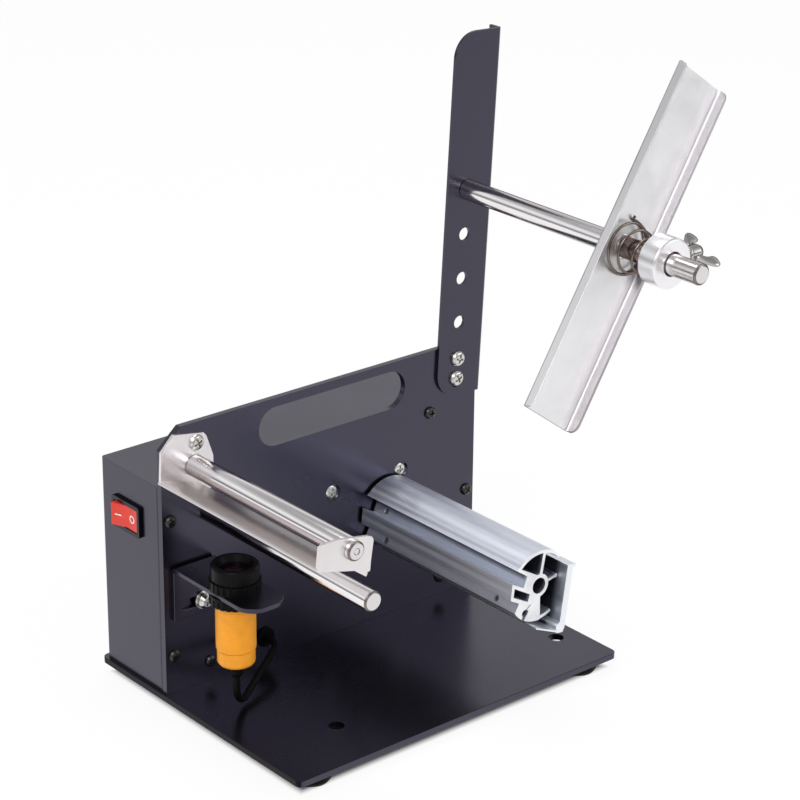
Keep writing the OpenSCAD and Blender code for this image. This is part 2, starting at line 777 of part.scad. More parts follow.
module shaft_collar() {
  c = 0.8;
  color([0.82, 0.82, 0.83]) placed() difference() {
    union() {
      ycyl(reel_x, collar_back - collar_width + c, reel_z, collar_d, collar_width - 2*c);
      ycone(reel_x, collar_back - c - e, reel_z, collar_d, collar_d - 2*c, c + e);
      ycone(reel_x, collar_back - collar_width, reel_z, collar_d - 2*c, collar_d, c + e);
    }
    ycyl(reel_x, collar_back - collar_width - 1, reel_z, shaft_d + 2*slide_gap,
        collar_width + 2);
    ycyl(reel_x, collar_back - collar_width - 1, reel_z, collar_recess_d, collar_recess + 1);
    // threaded hole for the wing screw
    translate([reel_x, collar_mid, reel_z]) rotate([0, 90, 0])
      cylinder(d=wing_screw_d + 2*thread_gap, h=collar_d);
  }
}

module wing_screw() {
  boss = collar_d/2 + 1.4;
  color([0.62, 0.61, 0.6]) placed() translate([reel_x, collar_mid, reel_z])
    rotate([wing_turn, 0, 0]) rotate([0, 90, 0]) {
      translate([0, 0, shaft_d/2 + 0.1]) cylinder(d=wing_screw_d, h=boss - shaft_d/2);
      translate([0, 0, boss]) cylinder(d1=8.6, d2=7, h=8);
      translate([0, 0, boss + 8 - e]) cylinder(d1=7, d2=5.4, h=1);
      // wings, in the plane of the screw's axis
      translate([-wing_sheet/2, 0, 0])
        rotate([90, 0, 90]) linear_extrude(wing_sheet) for (s = [-1, 1]) {
          translate([s*(wing_span/2 - 3.2), boss + 11.2]) circle(3.2);
          polygon([
            [0, boss + 2.4],
            [s*3.4, boss + 2.6],
            [s*(wing_span/2 - 1.2), boss + 8.7],
            [s*(wing_span/2 - 4.6), boss + 13.9],
            [s*2.2, boss + 8.4],
            [0, boss + 7.8]
          ]);
        }
    }
}

// ---------------------------------------------------------------- peel plate
peel_screw_spots = [[18.1, 122.4], [25.2, 105.6]];

// floor section in the x-z plane: rounded peel edge, slope and lower fold
module peel_floor_2d() {
  union() {
    translate([peel_x0 + peel_sheet/2, peel_edge_z - peel_sheet/2]) circle(peel_sheet/2);
    translate([peel_x0 + peel_sheet/2, peel_edge_z - peel_sheet/2])
      rotate(-peel_slope) translate([0, -peel_sheet/2]) square([peel_floor, peel_sheet]);
    translate([peel_knee_x, peel_knee_z]) circle(peel_sheet/2);
    translate([peel_knee_x, peel_knee_z]) rotate(atan2(fold_dz, fold_dx))
      translate([0, -peel_sheet/2])
        square([norm([fold_dx, fold_dz]), peel_sheet]);
  }
}

peel_knee_x = peel_x0 + peel_sheet/2 + peel_floor*floor_dx;
peel_knee_z = peel_edge_z - peel_sheet/2 + peel_floor*floor_dz;

module peel_plate() {
  color([0.82, 0.82, 0.82]) placed() difference() {
    union() {
      xz_sheet(0, peel_length) peel_floor_2d();
      // back flange against the panel
      xz_sheet(0, peel_sheet) polygon([
        [peel_x0 + 0.4, peel_edge_z - 0.9],
        [peel_x0 + 1.2, peel_back_top - 6.8],
        [peel_x0 + 7.9, peel_back_top],
        [peel_x0 + 23.8, peel_back_top - 2.8],
        [peel_x0 + 25.3, peel_back_top - 4.6],
        [peel_x0 + 28.8, peel_back_top - 14.8],
        [peel_x0 + 28.8, peel_back_top - 18],
        [peel_x0 + 31.4, peel_back_top - 21.6],
        [peel_x0 + 31.4, peel_back_top - 27.6],
        [peel_knee_x + fold_dx - 0.4, peel_knee_z + fold_dz],
        [peel_knee_x, peel_knee_z]
      ]);
      // front end plate
      xz_sheet(-peel_length + peel_sheet, peel_sheet) polygon([
        [peel_x0 + 0.4, peel_edge_z - 0.9],
        [peel_x0 + 1.5, peel_edge_z + peel_end_height - 0.8],
        [peel_x0 + 3, peel_edge_z + peel_end_height],
        [peel_x0 + 10.8, peel_edge_z + peel_end_height],
        [peel_x0 + 27.2, peel_edge_z + peel_end_height - 3],
        [peel_x0 + 29.1, peel_edge_z + peel_end_height - 3.9],
        [peel_x0 + 29.8, peel_edge_z + peel_end_height - 5.6],
        [peel_x0 + 28.4, peel_edge_z - 4.6],
        [peel_x0 + 28, peel_edge_z - 9],
        [peel_x0 + 24.7, peel_edge_z - 10],
        [peel_knee_x, peel_knee_z]
      ]);
    }
    // journals and screws
    ycyl(roller_x, -peel_length - 1, roller_z, journal_d + 2*journal_gap, peel_sheet + 2);
    ycyl(roller_x, -peel_sheet - 1, roller_z, journal_d + 2*journal_gap, peel_sheet + 2);
    for (p = peel_screw_spots)
      ycyl(p[0], -peel_sheet - 1, p[1], big_screw_d + 2*clear_gap, peel_sheet + 2);
  }
}

module peel_plate_screws() {
  color([0.75, 0.75, 0.76]) placed()
    for (p = peel_screw_spots)
      pan_screw(p[0], -peel_sheet, p[1], big_screw_d, big_head_d, 2, peel_sheet + pt);
}

module peel_roller() {
  y0 = -peel_length + peel_sheet + 0.3;
  y1 = -peel_sheet - 0.3;
  color([0.8, 0.8, 0.81]) placed() union() {
    ycyl(roller_x, y0, roller_z, roller_d, y1 - y0);
    ycyl(roller_x, -peel_length - 2, roller_z, journal_d, peel_sheet + 2.3 + e);
    ycone(roller_x, -peel_length - 2.8, roller_z, journal_d - 1.6, journal_d, 0.8 + e);
    ycyl(roller_x, y1 - e, roller_z, journal_d, peel_sheet + pt - 0.5);
  }
}

module lower_rod() {
  color([0.8, 0.8, 0.81]) placed() union() {
    ycyl(rod_x, -rod_length + 0.7, rod_z, rod_d, rod_length - 0.7);
    ycone(rod_x, -rod_length, rod_z, rod_d - 1.4, rod_d, 0.7 + e);
    ycyl(rod_x, -e, rod_z, stud_d, pt + 7);
  }
}

module lower_rod_nut() {
  color([0.75, 0.75, 0.76]) placed()
    nut_y(rod_x, pt, rod_z, stud_d + 2*thread_gap, 10, 5);
}

// ---------------------------------------------------------------- sensor
module sensor_bracket() {
  r = 9;
  w = bracket_width;
  color([0.14, 0.14, 0.15]) placed() difference() {
    union() {
      // top, with a rounded front
      translate([bracket_x, 0, bracket_top - bracket_sheet]) linear_extrude(bracket_sheet) union() {
        translate([0, -bracket_reach + r]) square([w, bracket_reach - r - 2.6]);
        translate([r, -bracket_reach]) square([w - 2*r, r + 1]);
        translate([r, -bracket_reach + r]) circle(r);
        translate([w - r, -bracket_reach + r]) circle(r);
      }
      // bend
      translate([bracket_x, -2.6, bracket_top - 2.6]) rotate([90, 0, 90]) linear_extrude(w)
        intersection() {
          difference() {
            circle(2.6);
            circle(2.6 - bracket_sheet);
          }
          square(3);
        }
      // upright
      translate([bracket_x, -bracket_sheet, bracket_bottom])
        cube([w, bracket_sheet, bracket_height - 2.6]);
    }
    // slot and sensor hole
    translate([0, 1, 0]) xz_sheet(0, bracket_sheet + 2) union() {
      translate([bracket_slot_x + slot_r, slot_z - slot_r]) square([bracket_slot - 2*slot_r, 2*slot_r]);
      translate([bracket_slot_x + slot_r, slot_z]) circle(slot_r);
      translate([bracket_slot_x + bracket_slot - slot_r, slot_z]) circle(slot_r);
    }
    translate([sensor_x, -sensor_y, bracket_top - bracket_sheet - 1])
      cylinder(d=sensor_d + 0.6, h=bracket_sheet + 2);
  }
}

module bracket_screw() {
  y = -bracket_sheet - 0.9;
  color([0.75, 0.75, 0.76]) placed()
    pan_screw(bracket_screw_x, y, slot_z, big_screw_d, big_head_d, 3, 0.9 + bracket_sheet + pt + 5);
}

module bracket_washer() {
  color([0.75, 0.75, 0.76]) placed() difference() {
    ycyl(bracket_screw_x, -bracket_sheet - 0.8, slot_z, 9, 0.8);
    ycyl(bracket_screw_x, -bracket_sheet - 2, slot_z, big_screw_d + 0.2, 3);
  }
}

module bracket_nut() {
  color([0.75, 0.75, 0.76]) placed()
    nut_y(bracket_screw_x, pt, slot_z, big_screw_d + 2*thread_gap, 7, 3.2);
}

module sensor_body() {
  color([0.93, 0.55, 0.12]) placed() translate([sensor_x, -sensor_y, sensor_bottom]) difference() {
    union() {
      cylinder(d1=sensor_d - 2.6, d2=sensor_d - 1, h=1.2);
      translate([0, 0, 1.2 - e]) cylinder(d=sensor_d - 1, h=6.2);
      translate([0, 0, 7.4 - e]) cylinder(d=sensor_d, h=sensor_length - 7.4);
    }
    // hole for the cable boot and recess above the lens
    translate([0, 0, -1]) cylinder(d=boot_d, h=6);
    translate([0, 0, sensor_length - 3]) cylinder(d=sensor_d - 4, h=4);
  }
}

module sensor_lens() {
  color([0.05, 0.03, 0.05]) placed()
    translate([sensor_x, -sensor_y, sensor_bottom + sensor_length - 3]) union() {
      cylinder(d=sensor_d - 4.1, h=1.2);
      translate([0, 0, 1.2 - e]) cylinder(d1=sensor_d - 5, d2=sensor_d - 9, h=0.8);
    }
}

module ring_z(z, d, hole, h) {
  translate([sensor_x, -sensor_y, z]) difference() {
    cylinder(d=d, h=h);
    translate([0, 0, -1]) cylinder(d=hole, h=h + 2);
  }
}

// grip grooves round a nut
module grips(z, d, h, n) {
  for (i = [0:n - 1]) rotate([0, 0, i*360/n])
    translate([d/2, 0, z]) cylinder(d=1.2, h=h, $fn=16);
}

module sensor_upper_nut() {
  color([0.1, 0.1, 0.1]) placed() difference() {
    ring_z(bracket_top, nut_d, sensor_d + 2*thread_gap, nut_h);
    translate([sensor_x, -sensor_y, 0]) grips(bracket_top + 0.8, nut_d, nut_h, 24);
  }
}

module sensor_lower_nut() {
  color([0.1, 0.1, 0.1]) placed() difference() {
    ring_z(bracket_top - bracket_sheet - nut_h, nut_d, sensor_d + 2*thread_gap, nut_h);
    translate([sensor_x, -sensor_y, 0])
      grips(bracket_top - bracket_sheet - nut_h - 1, nut_d, nut_h, 24);
  }
}

module sensor_hood() {
  z0 = bracket_top + nut_h + 0.2;
  z1 = sensor_bottom + sensor_length;
  color([0.1, 0.1, 0.1]) placed() translate([sensor_x, -sensor_y, 0]) difference() {
    union() {
      translate([0, 0, z0]) cylinder(d=hood_d, h=z1 + 3 - z0 - 0.8);
      translate([0, 0, z1 + 3 - 0.8 - e]) cylinder(d1=hood_d, d2=hood_d - 1.4, h=0.8);
    }
    translate([0, 0, z0 - 1]) cylinder(d=sensor_d + 2*thread_gap, h=z1 + 0.2 - z0 + 1);
    translate([0, 0, z1]) cylinder(d1=sensor_d - 4, d2=sensor_d - 1.2, h=3.1);
  }
}

module cable_boot() {
  color([0.08, 0.08, 0.08]) placed() translate([sensor_x, -sensor_y, 0]) difference() {
    union() {
      translate([0, 0, sensor_bottom - boot_h + 2]) cylinder(d=boot_d - 0.1, h=boot_h + 2.8);
      translate([0, 0, sensor_bottom - boot_h]) cylinder(d1=boot_d - 1.6, d2=boot_d - 0.1, h=2 + e);
    }
    translate([0, 0, sensor_bottom - boot_h - 1]) cylinder(d=cable_d + 0.1, h=boot_h + 3);
  }
}

// point on the cable's first bend, a degrees after the drop
function cable_bend_point(a) = [
  sensor_x + cable_bend*(1 - cos(a))*cos(cable_plan),
  -sensor_y + cable_bend*(1 - cos(a))*sin(cable_plan),
  cable_drop_z - cable_bend*sin(a)];

// point on the cable's last bend, a degrees before the panel's hole
cable_side = unit([cos(cable_rise)*cos(cable_plan), 0, sin(cable_rise)]);
function cable_end_point(a) = [cable_hole_x, cable_y_end, cable_hole_z]
  - cable_end_r*(1 - cos(a))*cable_side - [0, cable_end_r*sin(a), 0];

module sensor_cable() {
  turn = 90 + cable_rise;
  color([0.07, 0.07, 0.07]) placed() tube(concat(
    [[sensor_x, -sensor_y, sensor_bottom - boot_h + 4]],
    [for (i = [0:9]) cable_bend_point(turn*i/9)],
    [for (i = [6:-1:0]) cable_end_point(cable_end_turn*i/6)],
    [[cable_hole_x, pt + 9, cable_hole_z]]), cable_d/2, 16);
}

module cable_grommet() {
  color([0.06, 0.06, 0.06]) placed() difference() {
    union() {
      ycyl(cable_hole_x, -1.4, cable_hole_z, 9.4, 1.4);
      ycyl(cable_hole_x, -0.1, cable_hole_z, 6.9, pt + 0.2);
      ycyl(cable_hole_x, pt, cable_hole_z, 9.4, 1.4);
    }
    ycyl(cable_hole_x, -3, cable_hole_z, cable_d + 0.1, pt + 6);
  }
}

// ---------------------------------------------------------------- drum
// section of the drum, x to the right and z up, seen from the front
module drum_section() {
  w = drum_wall;
  difference() {
    union() {
      // upper shell
      intersection() {
        difference() {
          circle(drum_r, $fn=128);
          circle(drum_r - w, $fn=128);
        }
        polygon([[0, 0], [12.8, 11.6], [14, 24], [-24, 24], [-17.6, 14.8]]);
      }
      // hub
      circle(5.6);
      // upper wall of the slot
      polygon([[-13.4, 11.2], [-7.2, 6.8], [-3, 2], [-1, 5.4], [-10.4, 10.9], [-11.8, 12.3]]);
      // block between the slot and the hub
      polygon([[-7.2, 6.9], [-9.3, 1.7], [-4, -4], [0, 0], [-1.6, 5.3]]);
      // hollow rib
      polygon([[-16, 5.4], [-16.8, -2.3], [-11.7, -5.2], [-4, -6.4], [-4, 0], [-9.3, 1.7]]);
      // lower leg
      intersection() {
        circle(drum_r, $fn=128);
        polygon([[-11.7, -5.2], [-14.6, -10.4], [-12, -20], [1.3, -20], [0.9, -5], [-6, -3]]);
      }
      // lower shell
      intersection() {
        difference() {
          circle(drum_r - 0.4, $fn=128);
          circle(drum_r - 0.4 - w, $fn=128);
        }
        polygon([[0, 0], [-2, -24], [12.4, -24]]);
      }
      // spokes
      rotate(79) translate([4, -0.8]) square([11.9, 1.6]);
      rotate(11) translate([4, -0.6]) square([6.2, 1.2]);
      rotate(11) translate([10.25, 0]) circle(1);
    }
    circle(d=drum_bore_d);
    // hollow of the rib
    polygon([[-14.6, 2.9], [-5.3, -2.6], [-6.5, -6], [-15.2, -1.3]]);
    // screw port of the leg
    translate([-8.1, -11.2]) circle(1.7);
    rotate(-123) translate([12, -0.9]) square([8, 1.8]);
    // slit
    polygon([[-7.4, -9.9], [-4.6, -8.2], [-4.9, -7.7], [-8.1, -10]]);
  }
}

module drum_frame() {
  translate([drum_x, -drum_gap, drum_z]) children();
}

module rewind_drum() {
  color([0.72, 0.73, 0.76]) placed() drum_frame() difference() {
    rotate([90, 0, 0]) linear_extrude(drum_length) drum_section();
    // threaded holes
    set_screw_place(0) translate([0, 0, -9]) cylinder(d=screw_d + 2*thread_gap, h=16);
    for (i = [1, 2]) set_screw_place(i) translate([0, 0, -4]) cylinder(d=screw_d + 2*thread_gap, h=9);
  }
}

// 0: in the slot, onto the motor's shaft; 1 and 2: on the leg
module set_screw_place(i) {
  y = i == 0 ? -slot_screw_y : (i == 1 ? -leg_screw_y : leg_screw_y - drum_length);
  p = i == 0 ? [-8.2, 4.3] : [-12.9, -7.4];
  a = i == 0 ? 26 : 30;
  translate([p[0], y, p[1]]) rotate([0, i == 0 ? -90 + a : -60, 0]) children();
}

module drum_set_screws() {
  color([0.3, 0.3, 0.31]) placed() drum_frame() {
    set_screw_place(0) translate([0, 0, -5.1]) difference() {
      cylinder(d=screw_d, h=4.6);
      translate([0, 0, 3]) cylinder(d=1.7, h=3, $fn=6);
    }
    for (i = [1, 2]) set_screw_place(i) translate([0, 0, -3.2]) difference() {
      cylinder(d=screw_d, h=3);
      translate([0, 0, 1.6]) cylinder(d=1.7, h=3, $fn=6);
    }
  }
}

module clip_section() {
  f = clip_face;
  rotate(-8) union() {
    translate([f, -20]) square([clip_sheet, 30]);
    // upper tab
    translate([f, 8.8]) square([4.8, 1.2]);
    // rounded foot
    translate([f + clip_sheet - 2.6, -20]) circle(2.6);
    // thin leaf under the drum
    polygon([[f - 1, -22.2], [f - 1.2, -21.2], [-3.6, -17.6], [-3.4, -18.4]]);
    translate([f - 1.2, -22.5]) square([4, 2.4]);
  }
}

module drum_clip() {
  color([0.85, 0.86, 0.88]) placed() drum_frame()
    translate([0, -2, 0]) rotate([90, 0, 0])
      linear_extrude(drum_length + clip_proud - 2) clip_section();
}

// ---------------------------------------------------------------- drive
module gearbox() {
  s = gearbox_size;
  color([0.62, 0.63, 0.65]) placed() difference() {
    union() {
      translate([gearbox_x - s/2, pt, gearbox_z - s/2])
        translate([0, gearbox_depth, 0]) rotate([90, 0, 0]) linear_extrude(gearbox_depth)
          rounded_box_2d(s, s, 5);
      // boss in the panel's hole
      ycyl(drum_x, 1.2, drum_z, 16, pt - 1.2 + e);
    }
    ycyl(drum_x, -1, drum_z, output_d + 2*slide_gap, gearbox_depth + 1);
    motor_screw_spots() ycyl(0, pt - 1, 0, big_screw_d + 2*thread_gap, 9);
  }
}

module motor() {
  y0 = pt + gearbox_depth;
  color([0.68, 0.69, 0.7]) placed() union() {
    ycyl(gearbox_x, y0, gearbox_z, motor_d, motor_length - 1.5);
    ycone(gearbox_x, y0 + motor_length - 1.5 - e, gearbox_z, motor_d, motor_d - 3, 1.5 + e);
    ycyl(gearbox_x, y0 + motor_length - e, gearbox_z, 10, 1.5);
    for (s = [-1, 1])
      translate([gearbox_x + s*11 - 1.4, y0 + motor_length - e, gearbox_z - 0.3])
        cube([2.8, 3, 0.6]);
  }
}

module motor_screws() {
  color([0.75, 0.75, 0.76]) placed() motor_screw_spots() difference() {
    union() {
      ycyl(0, 0.3, 0, big_screw_d, 8.5);
      ycone(0, 0.3, 0, big_head_d, big_screw_d, 1.9);
    }
    translate([0, 0.3, 0]) rotate([90, 0, 0]) rotate([0, 0, 15]) cross_recess(4, 1.2);
  }
}

module output_shaft() {
  color([0.7, 0.7, 0.7]) placed() union() {
    ycyl(drum_x, -drum_gap - 19.5, drum_z, output_d, 19.5 + drum_gap + 14);
    ycone(drum_x, -drum_gap - 20.3, drum_z, output_d - 1.6, output_d, 0.8 + e);
  }
}

// ---------------------------------------------------------------- electrics
module switch_frame() {
  l = switch_length;
  h = switch_height;
  color([0.08, 0.08, 0.08]) placed() translate([cover_left, switch_y, switch_z]) difference() {
    union() {
      // frame on the cover's side
      translate([0, 0, 0]) rotate([90, 0, -90]) translate([-l/2, -h/2, 0])
        linear_extrude(1.6) rounded_box_2d(l, h, 1.2);
      translate([-e, -9.5, -6.4]) cube([14, 19, 12.8]);
    }
    // well of the rocker
    translate([-3, -8.9, -5.6]) cube([11, 17.8, 11.2]);
    // pivot holes
    translate([1, 0, -6.6]) cylinder(d=2.1, h=13.2);
  }
}

module switch_rocker() {
  a = rocker_angle;
  color([0.85, 0.15, 0.1]) placed() translate([cover_left + 1, switch_y, switch_z]) union() {
    // the front half is pressed in, the back half stands out
    translate([0, 0, -5.3]) linear_extrude(10.6) rotate(a) polygon([
      [-2.2, 0],
      [-3.9, 7.9],
      [2.6, 7.6],
      [4.6, 0],
      [2.6, -7.6],
      [-3.9, -7.9]
    ]);
    translate([0, 0, -6.2]) cylinder(d=2, h=12.4);
  }
}

module switch_terminals() {
  color([0.8, 0.68, 0.35]) placed()
    for (s = [-1, 1])
      translate([cover_left + 14 - e, switch_y + s*4.2 - 0.4, switch_z - 2.4])
        cube([7.5, 0.8, 4.8]);
}

module power_socket() {
  y1 = cover_back - cover_sheet;
  color([0.07, 0.07, 0.07]) placed() difference() {
    union() {
      ycyl(socket_x, y1 - 12, socket_z, socket_d + 3.5, 12);
      ycyl(socket_x, y1 - e, socket_z, socket_d, cover_sheet + 2.4);
    }
    ycyl(socket_x, y1 - 6, socket_z, 6.4, 12);
  }
}

module socket_pin() {
  color([0.8, 0.8, 0.8]) placed()
    ycyl(socket_x, cover_back - cover_sheet - 6, socket_z, 2.1, cover_sheet + 6.5);
}

module socket_nut() {
  color([0.7, 0.7, 0.72]) placed()
    nut_y(socket_x, cover_back, socket_z, socket_d + 2*thread_gap, 14, 2);
}

module board_outline_holes() {
  for (x = [4, board_width - 4])
    for (z = [4, board_height - 4])
      translate([board_x + x, 0, board_z + z]) children();
}

module control_board() {
  color([0.05, 0.32, 0.16]) placed() difference() {
    translate([board_x, board_y - 1.6, board_z]) cube([board_width, 1.6, board_height]);
    board_outline_holes() ycyl(0, board_y - 3, 0, screw_d + 0.3, 5);
  }
}

module board_spacers() {
  color([0.8, 0.68, 0.35]) placed() board_outline_holes() difference() {
    ycyl(0, board_y, 0, 5, 8);
    ycyl(0, board_y - 1, 0, screw_d + 2*thread_gap, 7);
  }
}

module board_screws() {
  color([0.75, 0.75, 0.76]) placed() board_outline_holes()
    pan_screw(0, board_y - 1.6, 0, screw_d, 5.4, 1.8, 6.5);
}

module board_parts() {
  y = board_y - 1.6;
  color([0.15, 0.15, 0.16]) placed() {
    // relay, controller chip, plug sockets and two capacitors
    translate([board_x + 11, y - 11, board_z + 12]) cube([12, 11, 15]);
    translate([board_x + 30, y - 2.2, board_z + 17]) cube([9, 2.2, 7]);
    translate([board_x + 10, y - 6, board_z + 32]) cube([16, 6, 6]);
    translate([board_x + 31, y - 6, board_z + 32]) cube([13, 6, 6]);
    ycyl(board_x + 48, y - 12, board_z + 18, 8, 12);
    ycyl(board_x + 48, y - 9, board_z + 8, 6.3, 9);
    translate([board_x + 12, y - 4, board_z + 3.5]) cube([8, 4, 5]);
  }
}

module wiring() {
  by = board_y - 1.6 - 3;
  tx = cover_left + 21.5;
  my = pt + gearbox_depth + motor_length + 1.6;
  color([0.6, 0.1, 0.1]) placed() union() {
    // switch to board
    wire([[tx + 0.4, switch_y - 4.2, switch_z], [tx + 6, switch_y - 4.2, switch_z],
      [board_x + 14, by, board_z + board_height + 8], [board_x + 14, by, board_z + 38.2]], 1.6);
    wire([[tx + 0.4, switch_y + 4.2, switch_z], [tx + 4, switch_y + 4.2, switch_z],
      [board_x + 18, by, board_z + board_height + 6], [board_x + 18, by, board_z + 38.2]], 1.6);
    // motor to board
    wire([[gearbox_x - 11, my + 0.8, gearbox_z + 1.2], [gearbox_x - 11, my + 0.8, 78],
      [board_x + 46, my - 4, 78], [board_x + 35, by, board_z + board_height + 5],
      [board_x + 35, by, board_z + 38.2]], 1.6);
    wire([[gearbox_x + 11, my + 0.8, gearbox_z + 1.2], [gearbox_x + 11, my + 0.8, 82],
      [board_x + 50, my - 4, 82], [board_x + 39, by, board_z + board_height + 7],
      [board_x + 39, by, board_z + 38.2]], 1.6);
    // power socket to board
    wire([[socket_x, cover_back - cover_sheet - 12.2, socket_z],
      [socket_x, 26, socket_z], [socket_x, 26, 16], [board_x + 70, 26, 16],
      [board_x + 70, by, board_z + 48], [board_x + 42, by, board_z + 48],
      [board_x + 42, by, board_z + 38.2]], 1.6);
  }
}

base_plate();
rubber_feet();
base_screws();
panel_brackets();
cover_feet();
front_panel();
panel_screws();
rear_cover();
reel_post();
post_screws();
post_nuts();
reel_shaft();
shaft_washer();
shaft_nut();
reel_bar();
reel_spring();
shaft_collar();
wing_screw();
peel_plate();
peel_plate_screws();
peel_roller();
lower_rod();
lower_rod_nut();
sensor_bracket();
bracket_screw();
bracket_washer();
bracket_nut();
sensor_body();
sensor_lens();
sensor_upper_nut();
sensor_lower_nut();
sensor_hood();
cable_boot();
sensor_cable();
cable_grommet();
rewind_drum();
drum_set_screws();
drum_clip();
gearbox();
motor();
motor_screws();
output_shaft();
switch_frame();
switch_rocker();
switch_terminals();
power_socket();
socket_pin();
socket_nut();
control_board();
board_spacers();
board_screws();
board_parts();
wiring();
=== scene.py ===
"""Looks of a desktop label dispenser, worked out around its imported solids.

Every visible solid gets a copy with broken edges or a surface of its own, and a
finish made of nodes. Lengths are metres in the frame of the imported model. Places
that come from the construction are given in millimetres from the lower left corner
of the front panel's face, and place() turns them into that frame.
"""

import functools
import json
import math

import bmesh
import bpy
import numpy as np
from bpy.props import FloatProperty, FloatVectorProperty, IntProperty, PointerProperty
from mathutils import Matrix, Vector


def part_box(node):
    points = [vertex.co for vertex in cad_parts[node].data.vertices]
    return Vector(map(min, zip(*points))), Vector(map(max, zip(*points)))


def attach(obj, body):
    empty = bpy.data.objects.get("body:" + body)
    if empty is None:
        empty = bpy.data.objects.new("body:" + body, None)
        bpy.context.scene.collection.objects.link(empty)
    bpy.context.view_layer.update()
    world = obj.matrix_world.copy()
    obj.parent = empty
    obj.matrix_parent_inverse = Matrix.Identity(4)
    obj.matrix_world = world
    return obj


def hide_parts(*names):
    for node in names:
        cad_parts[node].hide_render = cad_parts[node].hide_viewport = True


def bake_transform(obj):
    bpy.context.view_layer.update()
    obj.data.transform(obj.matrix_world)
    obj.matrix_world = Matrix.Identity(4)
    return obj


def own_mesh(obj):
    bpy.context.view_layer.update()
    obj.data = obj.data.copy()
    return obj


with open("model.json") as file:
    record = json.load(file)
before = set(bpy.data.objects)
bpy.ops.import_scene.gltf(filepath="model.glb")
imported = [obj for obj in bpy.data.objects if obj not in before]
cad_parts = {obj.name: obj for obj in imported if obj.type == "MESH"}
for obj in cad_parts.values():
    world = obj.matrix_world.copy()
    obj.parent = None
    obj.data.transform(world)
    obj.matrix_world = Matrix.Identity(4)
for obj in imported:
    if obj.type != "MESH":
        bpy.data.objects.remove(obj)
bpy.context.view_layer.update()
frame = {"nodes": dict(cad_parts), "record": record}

bl_info = {
    "name": "Label dispenser looks",
    "version": (1, 0, 0),
    "blender": (4, 5, 0),
    "location": "View3D > Sidebar > Dispenser",
    "description": "Builds the finished pieces of a desktop label dispenser round its solids",
    "category": "Object",
}

MM, MICRON = 0.001, 0.000001
RECORD = frame["record"]
BODY_OF = {n: b for b, nodes in RECORD["behaviour"]["bodies"].items() for n in nodes}
# lower left corner of the panel's face, at the underside of the base plate
CORNER = np.array([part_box("front_panel")[0].x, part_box("front_panel")[0].y,
                   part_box("base_plate")[0].z])

# the camera, in millimetres and degrees, from the edges of the photographed body
CAMERA_PLACE = (-599.85, -867.18, 580.84)
CAMERA_AZIMUTH, CAMERA_ELEVATION, CAMERA_ROLL = -40.302, 22.432, 0.580
CAMERA_FOCAL_PX, PHOTO_PX, SENSOR_WIDTH = 2647.86, 800.0, 36.0

# places of the construction, millimetres
PANEL_THICKNESS = 3.0
REEL_X, REEL_Z = 173.4799, 206.7739
SHAFT_R, SHAFT_END, STUD_R, STUD_END = 4.8, -150.7, 3.0, 9.5
POST_FACE, BAR_FRONT = -1.5, -104.0
BAR_TILT, BAR_NOD, BAR_TWIST = 37.3, 5.0, 5.0  # degrees
SPRING_BIG_R, SPRING_SMALL_R, SPRING_WIRE = 12.6, 8.2, 1.2
SPRING_TURNS, SPRING_LENGTH, SPRING_PRESSED = 3.25, 18.8, 4.6
COLLAR_R, COLLAR_MIDDLE = 11.3, -128.05
WING_TURN, WING_SCREW_R = 26.0, 2.5
ROLLER_X, ROLLER_Z, ROLLER_R, JOURNAL_R = 17.0, 111.8, 5.0, 4.4
PEEL_LENGTH, PEEL_SHEET = 111.0, 1.5
ROD_X, ROD_Z, ROD_R, ROD_LENGTH = 25.0, 86.9, 4.6, 115.0
SENSOR_X, SENSOR_Y, SENSOR_BOTTOM, SENSOR_LENGTH, SENSOR_R = 14.7, -33.0, 28.6, 45.4, 9.0
BOOT_HEIGHT, BOOT_R = 7.0, 3.0
CABLE_D, CABLE_HOLE_X, CABLE_HOLE_Z = 3.2, 55.5, 14.4
CABLE_BEND, CABLE_RISE, CABLE_PLAN, CABLE_END_R = 9.0, 12.0, 30.0, 8.0
SWITCH_X, SWITCH_Y, SWITCH_Z, ROCKER_ANGLE = 1.4, 27.0, 82.0, 11.0
DRUM_X, DRUM_Z = 128.3, 58.2

# where the reel bar's web turns into its folds, metres across from its middle
FOLD_RIGHT, FOLD_LEFT = (0.0132, 0.0138), (-0.0144, -0.0150)
# sockets, white, and how dense the lines of metals are: few along y
FLOAT, VECTOR = "NodeSocketFloat", "NodeSocketVector"
WHITE = (1, 1, 1, 1)
GROUND, BRUSHED = (2600, 28, 2600), (1500, 40, 1500)
EXTRUDED, DRAWN = (2200, 18, 2200), (2600, 22, 2600)


def place(points):
    """Millimetres from the panel's corner become metres in the model's frame."""
    return CORNER + np.asarray(points, float) * MM


def place_y(y):
    return place((0, y, 0))[1]


# ------------------------------------------------------------------ settings
def colour(name, words, value):
    return FloatVectorProperty(name=name, description=words, default=value, size=4,
                               subtype="COLOR", min=0, max=1)


def length(name, words, value):
    return FloatProperty(name=name, description=words, default=value, min=0, max=0.1,
                         unit="LENGTH", precision=5)


